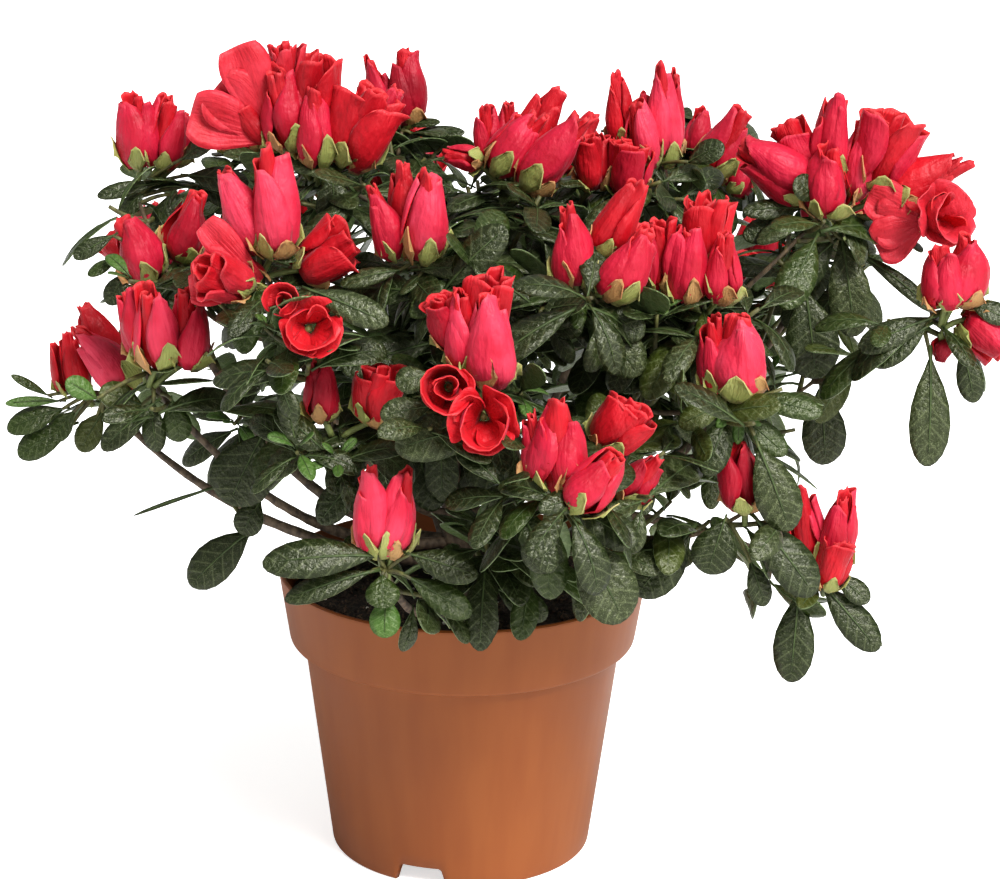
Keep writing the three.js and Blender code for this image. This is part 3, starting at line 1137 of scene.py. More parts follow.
@dataclass
class Leaves:
    """Every leaf, kept as rows of numbers until they are made into shells all at once.

    A leaf starts at a foot and follows a direction that bends away from its upper side. Its half
    width is half its breadth times the sine of its place along the leaf, raised to a power.
    """

    steps: tuple = (0.0, 0.10, 0.25, 0.43, 0.61, 0.77, 0.89, 0.965, 1.0)
    widest: float = 0.60
    columns: int = 5
    thickness: float = 0.35
    foot_width: float = 0.10
    tip_width: float = 0.14
    wave_pace: float = 9.5
    usual_length: float = 28.0
    stalk_share: float = 0.13
    rib_end: float = 0.86
    rib_lift: float = 0.12
    rib_radii: tuple = (0.75, 0.62, 0.46, 0.36, 0.27, 0.15)
    plans: dict = field(default_factory=lambda: {tone: [] for tone in Tone})

    def add(self, tone: Tone, **numbers: Array) -> None:
        """Keeps a batch of leaves of one tone, each number an array with one row per leaf."""
        self.plans[tone].append(numbers)

    def gathered(self, tone: Tone) -> dict:
        """Joins a tone's batches into one array per number."""
        batches = self.plans[tone]
        return {key: np.concatenate([batch[key] for batch in batches]) for key in batches[0]}

    @staticmethod
    def spine(plan: dict, v: Array) -> tuple[Array, Array, Array]:
        """Works out the leaf's middle line and its two cross directions.

        The line turns down by the droop times the share v, so it is the sum of a sine along the
        leaf and a cosine away from its upper side. The blade rolls about it by the twist.

        Args:
            plan: The leaves' numbers.
            v: Shares along the leaf, below 0 for the stalk.

        Returns:
            The line, the sideways direction and the upper side's normal, each N by V by 3.
        """
        ahead, upper = plan["ahead"][:, None], plan["upper"][:, None]
        droop = plan["droop"][:, None]
        angle = droop * v[None]
        forward = np.sin(angle) / droop
        down = (1 - np.cos(angle)) / droop
        length = plan["length"][:, None, None]
        line = plan["foot"][:, None] + length * (
            forward[..., None] * ahead - down[..., None] * upper
        )
        normal = np.cos(angle)[..., None] * upper + np.sin(angle)[..., None] * ahead
        side = np.cross(ahead, upper)
        roll = (plan["twist"][:, None] * v[None])[..., None]
        return line, np.cos(roll) * side + np.sin(roll) * normal, (
            np.cos(roll) * normal - np.sin(roll) * side
        )

    def blades(self, plan: dict) -> Array:
        """Spreads each leaf's blade about its middle line: a groove, then edges rolled down.

        Args:
            plan: The leaves' numbers.

        Returns:
            N by steps by columns by 3 points.
        """
        v = np.array(self.steps)
        u = np.linspace(-1, 1, self.columns)
        line, side, normal = self.spine(plan, v)
        taper = np.sin(0.5 * math.pi * np.minimum(v / self.widest, 1)) ** 0.9
        tip = np.sqrt(1 - np.maximum((v - self.widest) / (1 - self.widest), 0) ** 2)
        shape = np.maximum(taper * tip, 0.0)
        shape[[0, -1]] = self.foot_width, self.tip_width
        half = 0.5 * plan["breadth"][:, None] * shape[None]
        phase = plan["phase"][:, None]
        wave = plan["wave"][:, None] * np.sin(self.wave_pace * v[None] + phase)
        fold, roll = plan["fold"][:, None, None], plan["roll"][:, None, None]
        groove = (fold * np.abs(u)[None, None] - roll * u[None, None] ** 2) * half[..., None]
        rise = groove + (wave * half)[..., None] * (u * np.abs(u))[None, None]
        reach = half[..., None] * u[None, None]
        return (
            line[:, :, None]
            + reach[..., None] * side[:, :, None]
            + rise[..., None] * normal[:, :, None]
        )

    def ribs(self, plan: dict) -> Array:
        """Runs a fine rib from the stalk's foot along the leaf's middle line.

        Args:
            plan: The leaves' numbers.

        Returns:
            N by points by 3 by 3 places.
        """
        along = np.linspace(0.0, self.rib_end, len(self.rib_radii) - 1)
        line, _, normal = self.spine(plan, np.concatenate([[-self.stalk_share], along]))
        paths = line + self.rib_lift * normal
        size = np.clip(plan["length"] / self.usual_length, 0.5, 1.1)
        return tube_rings(paths, size[:, None] * np.array(self.rib_radii)[None], 3)

    def build(self) -> list[Piece]:
        """Builds one piece of blades for each tone, and one piece of ribs and stalks."""
        made = []
        underside = LeafFinish(
            "leaf_underside", (0.150, 0.210, 0.085), (0.085, 0.130, 0.050), flecks=0.15, veins=0.25
        )
        skin = StemFinish("pale_rib", (0.085, 0.120, 0.040), (0.045, 0.070, 0.022), 0.5, 0.0002)
        ribs = Piece("leaf_ribs", "foliage", [skin])
        for tone in Tone:
            if not self.plans[tone]:
                continue
            plan = self.gathered(tone)
            piece = Piece(f"leaves_{tone.value}", "foliage", [LEAF_FACES[tone], underside])
            piece.add_shells(self.blades(plan), self.thickness, 1)
            made.append(piece)
            ribs.add_tubes(self.ribs(plan))
        made.append(ribs)
        return made


# ---- blossom


class Bloom(Enum):
    """How far a flower has opened."""

    BUD = "bud"
    SLIM = "slim"
    TORN = "torn"
    ROSE = "rose"
    CUP = "cup"
    FRILL = "frill"
    FAN = "fan"


class Tint(Enum):
    """The reds that are dealt out to flowers, and the two greens of their scales."""

    CRIMSON = "crimson"
    # Rose: partly the buds' own pinker red, partly painted light, a lighter copy of the crimson that stands
    # in for light falling on the petals that wear it.
    ROSE = "rose"
    SCARLET = "scarlet"
    DEEP = "deep"
    # Blush: partly the open flowers' own paler red, partly painted light, a lighter copy that brightens
    # flowers turned away from the key light.
    BLUSH_PAINTED_LIGHT = "blush"
    SCALE = "scale"
    TAN = "tan"


INSIDE = PetalFinish(
    "petal_inside", (0.660, 0.021, 0.034), (0.460, 0.008, 0.015), (0.78, 0.08, 0.08)
)
PETAL_FACES = {
    Tint.CRIMSON: PetalFinish(
        "petal_crimson", (0.580, 0.018, 0.055), (0.430, 0.007, 0.026), (0.76, 0.09, 0.13)
    ),
    # Partly painted light: lighter than the crimson, in place of the light that falls on these petals.
    Tint.ROSE: PetalFinish(
        "petal_rose_painted_light", (0.710, 0.055, 0.108), (0.560, 0.017, 0.050), (0.82, 0.14, 0.18)
    ),
    Tint.SCARLET: PetalFinish(
        "petal_scarlet", (0.570, 0.010, 0.022), (0.380, 0.005, 0.013), (0.76, 0.08, 0.09)
    ),
    Tint.DEEP: PetalFinish(
        "petal_deep", (0.430, 0.006, 0.027), (0.270, 0.004, 0.016), (0.60, 0.05, 0.08)
    ),
    # Partly painted light: pale enough to brighten flowers turned away from the key light; worn inside as
    # well.
    Tint.BLUSH_PAINTED_LIGHT: PetalFinish(
        "petal_blush_painted_light", (0.630, 0.038, 0.062), (0.500, 0.014, 0.026), (0.80, 0.11, 0.13)
    ),
    Tint.SCALE: PetalFinish(
        "bud_scale", (0.400, 0.410, 0.140), (0.270, 0.310, 0.085), (0.50, 0.40, 0.20)
    ),
    Tint.TAN: PetalFinish(
        "tan_scale", (0.560, 0.330, 0.140), (0.430, 0.230, 0.090), (0.50, 0.20, 0.10)
    ),
}
SCALES = (Tint.SCALE, Tint.TAN)


@dataclass(frozen=True)
class Flower:
    """One flower of a cluster, in millimetres and degrees from its shoot's seat."""

    kind: Bloom
    x: float = 0.0
    z: float = 0.0
    lean: float = 0.0
    length: float = 28.0
    width: float = 14.0
    y: float = 0.0
    nod: float = 0.0
    tint: Tint = Tint.CRIMSON


@dataclass
class Petals:
    """Every petal and scale, kept as rows of numbers until they are made into shells at once."""

    thickness: float = 0.32
    petal_grid: tuple[int, int] = (10, 11)
    scale_grid: tuple[int, int] = (6, 5)
    wrapped: dict = field(default_factory=lambda: {tint: [] for tint in Tint})
    spread: dict = field(default_factory=lambda: {tint: [] for tint in Tint})

    @staticmethod
    def stack(rows: list[dict]) -> dict:
        """Turns a list of petals into one array per number, shaped to spread over a grid."""
        joined = {key: np.array([row[key] for row in rows], dtype=float) for key in rows[0]}
        return {
            key: value[:, None, None] if value.ndim == 1 else value[:, None, None, :]
            for key, value in joined.items()
        }

    @staticmethod
    def grid(size: tuple[int, int]) -> tuple[Array, Array]:
        """Gives a grid's shares: u from -1 to 1 across a petal and v from 0 to 1 along it.

        Args:
            size: The grid's rows and columns.

        Returns:
            The shares u and v, each 1 by rows by columns.
        """
        along = np.linspace(0, 1, size[0])
        along = along + 0.16 * np.sin(math.pi * along)
        v, u = np.meshgrid(np.minimum(along, 1), np.linspace(-1, 1, size[1]), indexing="ij")
        return u[None], v[None]

    @staticmethod
    def placed(p: dict, aside: Array, ahead: Array, up: Array) -> Array:
        """Puts petals in place: the base, plus each distance along its own direction."""
        return (
            p["base"] + aside[..., None] * p["side"] + ahead[..., None] * p["front"]
            + up[..., None] * p["axis"]
        )

    def wrap(self, p: dict, size: tuple[int, int]) -> Array:
        """Shapes petals that wrap round a bud.

        The radius swells as a sine of the height and ends at the open share. It grows from one
        side to the other, so that each petal passes over the next, and it ripples near the tip.
        Three crossing sine waves crumple it. The tip's corners drop by the square of the way
        across.

        Args:
            p: The petals' numbers.
            size: The grid's rows and columns.

        Returns:
            N by rows by columns by 3 points.
        """
        u, v = self.grid(size)
        swell = np.sin(math.pi * (0.10 + p["close"] * v**0.72)) ** 0.62 * (1 - p["taper"] * v**3)
        ripple = p["ruffle"] * np.sin(p["beats"] * u + p["phase"]) * v**3.5
        over = 0.07 * u + p["curl"] * np.clip(0.4 + 0.6 * u, 0, 1) * v**5
        crease = (
            0.060 * np.sin(3.1 * u + 5.0 * v + p["phase"])
            + 0.035 * np.sin(8.3 * u - 2.0 * v - p["phase"])
            + 0.028 * np.sin(11.0 * v + 4.0 * u + 3 * p["phase"])
        )
        radius = p["radius"] * (swell + over + ripple + p["crumple"] * crease * (0.3 + v))
        cover = p["cover"] * (0.52 + 0.48 * np.sin(math.pi * (0.06 + 0.80 * v)))
        turn = p["turn"] + cover * u + p["spiral"] * v
        jagged = 0.6 * np.sin(1.7 * p["beats"] * u + 2 * p["phase"])
        torn = p["torn"] * (jagged + 0.3 * np.sin(8 * u + p["phase"])) * v**6
        fall = p["drop"] * u**2 * v**2
        height = p["length"] * (v - fall + torn)
        bent = p["bend"] * v**2
        return self.placed(
            p, radius * np.cos(turn) + bent * p["length"], radius * np.sin(turn), height
        )

    def open_out(self, p: dict, size: tuple[int, int]) -> Array:
        """Shapes petals that open away from the flower's axis.

        The middle line's angle from the axis goes evenly from its first to its last value, so its
        path is the difference of cosines outwards and of sines upwards, over that change. The
        half width widens towards a broad tip, whose corners fall back.

        Args:
            p: The petals' numbers.
            size: The grid's rows and columns.

        Returns:
            N by rows by columns by 3 points.
        """
        u, v = self.grid(size)
        turned = p["last"] - p["first"]
        angle = p["first"] + turned * v
        out = p["reach"] + p["length"] * (np.cos(p["first"]) - np.cos(angle)) / turned
        up = p["length"] * (np.sin(angle) - np.sin(p["first"])) / turned
        widening = np.sin(0.5 * math.pi * np.minimum(1.15 * v, 1)) ** 1.3
        half = p["breadth"] / 2 * (0.28 + 0.72 * widening)
        half = half * (1 - 0.32 * v**8)
        back = p["drop"] * p["length"] * u**2 * v**3
        out = out - back * np.sin(angle)
        up = up - back * np.cos(angle)
        ripple = p["ruffle"] * half * np.sin(p["beats"] * u + p["phase"] + 2 * v) * (0.15 + v**2)
        lift = ripple + p["cup"] * half * u**2
        radial = out - lift * np.cos(angle)
        along = up + lift * np.sin(angle)
        turn = p["turn"] + p["skew"] * v
        cos, sin = np.cos(turn), np.sin(turn)
        wide = half * u
        return self.placed(p, radial * cos - wide * sin, radial * sin + wide * cos, along)

    def build(self) -> list[Piece]:
        """Builds one piece for each tint.

        The insides wear the inside finish, but for the scales' and the blush petals', which wear
        the same as their outsides, so that the blush's painted light lies on both faces.

        Returns:
            The pieces, ready to be written.
        """
        made = []
        for tint in Tint:
            face = PETAL_FACES[tint]
            scaly = tint in SCALES
            kind, size = ("scales", self.scale_grid) if scaly else ("blossom", self.petal_grid)
            inner = face if scaly or tint is Tint.BLUSH_PAINTED_LIGHT else INSIDE
            piece = Piece(f"{kind}_{tint.value}", "foliage", [face, inner])
            for rows, shape in ((self.wrapped, self.wrap), (self.spread, self.open_out)):
                if rows[tint]:
                    piece.add_shells(shape(self.stack(rows[tint]), size), self.thickness, 1)
            if piece.count:
                made.append(piece)
        return made


@dataclass(frozen=True)
class StalkEnd:
    """The end of one flower's stalk: the flower's tint, foot, axis, length and radius."""

    tint: Tint
    base: Array
    axis: Array
    length: float
    radius: float


@dataclass
class Florist:
    """Makes each kind of flower from petals, with its stalk and the scales at its foot."""

    petals: Petals
    stalks: Piece
    rng: np.random.Generator
    stalk_radius: float = 1.05
    stalk_steps: int = 5
    stalk_sides: int = 6
    smallest_scaled: float = 10.0
    scale_share: float = 0.42
    scale_most: float = 11.5
    scale_count: int = 5
    wide_kinds: tuple = (Bloom.ROSE, Bloom.CUP, Bloom.FRILL, Bloom.FAN)
    wide_foot: float = 7.0
    wide_scale: float = 5.5
    wide_count: int = 3

    @staticmethod
    def around(axis: Array) -> tuple[Array, Array]:
        """Gives two directions square to an axis, the first as near +X as it can be."""
        side = across(np.array([1.0, 0.02, 0.01]), axis)
        return side, np.cross(axis, side)

    def petal(
        self, tint: Tint, base: Array, axis: Array, side: Array, turn: float, **sizes: float
    ) -> None:
        """Adds one wrapped petal.

        Args:
            tint: Its colour.
            base: Where it starts.
            axis: The line that it is rolled about.
            side: The way that its tip may bend, square to the axis.
            turn: Its middle's turn from that way, in radians.
            sizes: Its length, radius and shape shares; the rest take usual values.
        """
        row = {
            "cover": 1.8, "close": 0.79, "curl": 0.20, "ruffle": 0.13, "torn": 0.014,
            "drop": 0.05, "spiral": 0.5, "bend": 0.0, "crumple": 1.0, "taper": 0.0, **sizes,
        }
        row["length"] *= self.rng.uniform(0.90, 1.04)
        row["curl"] *= self.rng.uniform(0.5, 1.6)
        row["torn"] *= self.rng.uniform(0.5, 1.5)
        row["bend"] += self.rng.normal(0, 0.015)
        row.update(base=base, axis=axis, side=side, front=np.cross(axis, side), turn=turn)
        row.update(beats=self.rng.uniform(2.6, 4.6), phase=self.rng.uniform(*ANY_PHASE))
        self.petals.wrapped[tint].append(row)

    def rolled(self, at: StalkEnd, count: int, **sizes: float) -> None:
        """Adds a ring of petals rolled about the flower's axis, evenly turned but for some play.

        Args:
            at: The stalk's end that they stand on.
            count: How many petals.
            sizes: As for petal().
        """
        side, _ = self.around(at.axis)
        start = self.rng.uniform(0, FULL_TURN)
        for index in range(count):
            turn = start + FULL_TURN * index / count + self.rng.normal(0, 0.12)
            self.petal(at.tint, at.base, at.axis, side, turn, **sizes)

    def pods(
        self, at: StalkEnd, count: int, apart: float, spread: float, **sizes: float
    ) -> None:
        """Adds petals each rolled about a line of its own, so that grooves part them.

        Args:
            at: The stalk's end that they stand on.
            count: How many petals.
            apart: How far their lines start from the axis.
            spread: How much their lines lean out, as a share of their length.
            sizes: As for petal().
        """
        side, front = self.around(at.axis)
        start = self.rng.uniform(0, FULL_TURN)
        for index in range(count):
            turn = start + FULL_TURN * index / count + self.rng.normal(0, 0.2)
            out = math.cos(turn) * side + math.sin(turn) * front
            lean = spread * self.rng.uniform(0.2, 1.6) * out
            own = unit(at.axis + lean + self.rng.normal(0, 0.03, 3))
            base = at.base + apart * out
            self.petal(at.tint, base, own, across(out, own), self.rng.normal(0, 0.35), **sizes)

    def opened(self, at: StalkEnd, count: int, **sizes: float) -> None:
        """Adds a ring of open petals, as rolled() does for wrapped ones.

        Args:
            at: The stalk's end that they stand on.
            count: How many petals.
            sizes: Their length, breadth, first and last angle in degrees, and shape shares.
        """
        side, front = self.around(at.axis)
        start = self.rng.uniform(0, FULL_TURN)
        for index in range(count):
            row = {"cup": 0.3, "ruffle": 0.12, "drop": 0.16, "skew": 0.12, "reach": 1.5, **sizes}
            row["length"] *= self.rng.uniform(0.9, 1.08)
            row["breadth"] *= self.rng.uniform(0.9, 1.12)
            row["last"] = math.radians(row["last"] + self.rng.normal(0, 7))
            row["first"] = math.radians(row["first"])
            row["ruffle"] *= self.rng.uniform(0.6, 1.4)
            turn = start + FULL_TURN * index / count + self.rng.normal(0, 0.1)
            row.update(base=at.base, axis=at.axis, side=side, front=front, turn=turn)
            row.update(beats=self.rng.uniform(3.0, 5.5), phase=self.rng.uniform(*ANY_PHASE))
            self.petals.spread[at.tint].append(row)

    def scales(self, base: Array, axis: Array, width: float, long: float, count: int) -> None:
        """Adds the pointed scales that clasp a flower's foot, two green ones to each tan one.

        Args:
            base: The flower's foot.
            axis: The flower's axis.
            width: The flower's width.
            long: The scales' usual length.
            count: How many.
        """
        side, _ = self.around(axis)
        start = self.rng.uniform(0, FULL_TURN)
        for index in range(count):
            self.petal(
                Tint.SCALE if index % 3 else Tint.TAN, base - 1.2 * axis,
                unit(axis + self.rng.normal(0, 0.05, 3)), side,
                start + FULL_TURN * index / count + self.rng.normal(0, 0.25),
                length=long * self.rng.uniform(0.75, 1.15),
                radius=0.50 * width + 0.3 * (index % 3), cover=self.rng.uniform(0.38, 0.60),
                close=0.34, curl=0.07, ruffle=0.03, torn=0.0, drop=0.55, spiral=0.1, crumple=0.3,
            )

    def bloom(self, flower: Flower, seat: Array) -> None:
        """Adds one flower to its shoot's seat, by the method that its kind's value names.

        Args:
            flower: Its kind, place, lean and size.
            seat: The shoot's tip.
        """
        axis = leaning(flower.lean, flower.nod)
        base = seat + np.array([flower.x, flower.y, flower.z])
        pull = (seat + base) / 2 - 2.0 * UP
        foot = seat - 5.0 * UP + 0.2 * (base - seat)
        path = bend(foot, pull, base + 1.0 * axis, self.stalk_steps)
        radii = np.full((1, self.stalk_steps), self.stalk_radius)
        self.stalks.add_tubes(tube_rings(path, radii, self.stalk_sides))
        at = StalkEnd(flower.tint, base, axis, flower.length, flower.width / 2)
        getattr(self, flower.kind.value)(at)
        if flower.length <= self.smallest_scaled:
            return
        if flower.kind in self.wide_kinds:
            below = base - 1.5 * axis
            self.scales(below, axis, self.wide_foot, self.wide_scale, self.wide_count)
        else:
            long = min(self.scale_share * flower.length, self.scale_most)
            self.scales(base, axis, flower.width, long, self.scale_count)

    def bud(self, at: StalkEnd) -> None:
        """Builds a plump bud: one broad petal, two that overlap it, and a crumpled heart.

        Args:
            at: Its stalk's end.
        """
        close = self.rng.uniform(0.79, 0.87)
        twist = self.rng.uniform(-0.6, 0.6)
        self.pods(
            at, 1, 0.05 * at.radius, 0.02, length=at.length * 0.96, radius=at.radius * 0.90,
            cover=2.4, close=close, drop=0.09, curl=0.10, ruffle=0.12, spiral=twist, taper=0.32,
        )
        self.pods(
            at, 2, 0.28 * at.radius, 0.05, length=at.length * self.rng.uniform(0.76, 0.94),
            radius=at.radius * 0.72, cover=1.75, close=close - 0.02, drop=0.12, curl=0.16,
            ruffle=0.12, spiral=twist, bend=-0.05, taper=0.30,
        )
        self.rolled(
            replace(at, tint=Tint.SCARLET), 2, length=at.length, radius=at.radius * 0.52,
            cover=2.0, ruffle=0.26, torn=0.03, curl=0.15, close=close - 0.06, taper=0.2,
        )

    def slim(self, at: StalkEnd) -> None:
        """Builds a young bud, narrow and pointed.

        Args:
            at: Its stalk's end.
        """
        self.pods(
            at, 2, 0.20 * at.radius, 0.02, length=at.length, radius=at.radius * 0.80,
            close=0.86, curl=0.03, cover=2.0, ruffle=0.03, drop=0.15,
        )
        heart = replace(at, tint=Tint.DEEP)
        self.rolled(heart, 1, length=at.length * 0.95, radius=at.radius * 0.6, cover=2.7)

    def torn(self, at: StalkEnd) -> None:
        """Builds a half open, crumpled flower: rippled petals that lean apart round a heart.

        Args:
            at: Its stalk's end.
        """
        heart = replace(at, tint=Tint.SCARLET)
        self.pods(
            at, 3, 0.26 * at.radius, 0.12, length=at.length * 0.92, radius=at.radius * 0.74,
            cover=1.55, close=0.62, curl=0.30, ruffle=0.18, torn=0.02, drop=0.10,
        )
        self.pods(
            heart, 3, 0.16 * at.radius, 0.08, length=at.length, radius=at.radius * 0.56,
            cover=1.6, close=0.60, curl=0.26, ruffle=0.30, torn=0.03, drop=0.08,
        )
        self.rolled(
            heart, 1, length=at.length * 0.96, radius=at.radius * 0.36, cover=2.6,
            close=0.58, ruffle=0.3, torn=0.03, curl=0.1,
        )

    def rose(self, at: StalkEnd) -> None:
        """Builds a flower seen into: a folded cup within three broad outer petals.

        Args:
            at: Its stalk's end.
        """
        inner = replace(at, base=at.base + 0.6 * at.axis)
        self.opened(
            at, 3, length=at.radius * 1.15, breadth=at.radius * 1.55, first=24, last=68,
            cup=0.14, ruffle=0.10,
        )
        self.rolled(
            inner, 1, length=at.radius * 1.1, radius=at.radius * 0.62, cover=2.7,
            close=0.44, curl=0.25, ruffle=0.12, torn=0.01, spiral=0.4, crumple=0.7,
        )
        self.pods(
            replace(inner, tint=Tint.SCARLET), 2, 0.20 * at.radius, 0.25,
            length=at.radius * 0.95, radius=at.radius * 0.34, cover=2.0, close=0.46, curl=0.3,
            ruffle=0.12, spiral=0.4,
        )

    def cup(self, at: StalkEnd) -> None:
        """Builds a flower seen into: one wide cup round a narrow, darker one.

        Args:
            at: Its stalk's end.
        """
        self.rolled(
            at, 1, length=at.length, radius=at.radius * 0.86, cover=3.0, close=0.42,
            curl=0.20, ruffle=0.07, torn=0.0, spiral=0.2, crumple=0.6,
        )
        self.opened(
            at, 2, length=at.radius * 1.05, breadth=at.radius * 1.3, first=28, last=80,
            cup=0.30, ruffle=0.08,
        )
        self.rolled(
            replace(at, tint=Tint.DEEP), 2, length=at.length * 0.8, radius=at.radius * 0.42,
            cover=2.2, close=0.46, curl=0.3, spiral=0.6,
        )

    def fan(self, at: StalkEnd) -> None:
        """Builds a wide open flower seen into from the front, its petals fanned to one side.

        Args:
            at: Its stalk's end.
        """
        facing = across(np.array([0.15, -1.0, 0.1]), at.axis)
        aside = np.cross(facing, at.axis)
        usual = {
            "first": math.radians(70), "last": math.radians(100), "cup": 0.03, "ruffle": 0.16,
            "drop": 0.02, "skew": 0.0, "reach": 0.5, "turn": 0.0, "beats": 3.4,
            "base": at.base, "axis": facing,
        }
        for turn, share, broad in ((-0.36, 1.14, 0.80), (0.55, 1.0, 0.90), (0.10, 0.88, 1.0)):
            out = math.cos(turn) * at.axis + math.sin(turn) * aside
            sizes = {"length": at.length * share, "breadth": 1.9 * at.radius * broad}
            ways = {"side": out, "front": np.cross(facing, out), "phase": 2.0 + turn}
            self.petals.spread[at.tint].append({**usual, **sizes, **ways})
        self.pods(
            replace(at, tint=Tint.SCARLET, base=at.base - 2.0 * facing), 2, 0.3 * at.radius, 0.2,
            length=at.length * 0.5, radius=at.radius * 0.34, cover=1.8, close=0.62, curl=0.3,
            ruffle=0.2, torn=0.02, drop=0.1,
        )

    def frill(self, at: StalkEnd) -> None:
        """Builds a wide flower: five broad, gently waved petals and crumpled ones inside.

        Args:
            at: Its stalk's end.
        """
        self.opened(
            at, 3, length=at.length, breadth=at.radius * 2.1, first=14, last=56,
            cup=0.05, ruffle=0.06, drop=0.10,
        )
        self.opened(
            at, 2, length=at.length * 0.92, breadth=at.radius * 1.3, first=10, last=38,
            cup=0.10, ruffle=0.10, drop=0.10,
        )
        self.pods(
            replace(at, tint=Tint.SCARLET, base=at.base + 1.0 * at.axis), 3, 0.16 * at.radius,
            0.30, length=at.length * 0.84, radius=at.radius * 0.30, cover=1.6, close=0.60,
            curl=0.4, ruffle=0.22, torn=0.03, drop=0.16,
        )


# ---- crown


B, S, T, R, F, C = Bloom.BUD, Bloom.SLIM, Bloom.TORN, Bloom.ROSE, Bloom.FRILL, Bloom.CUP
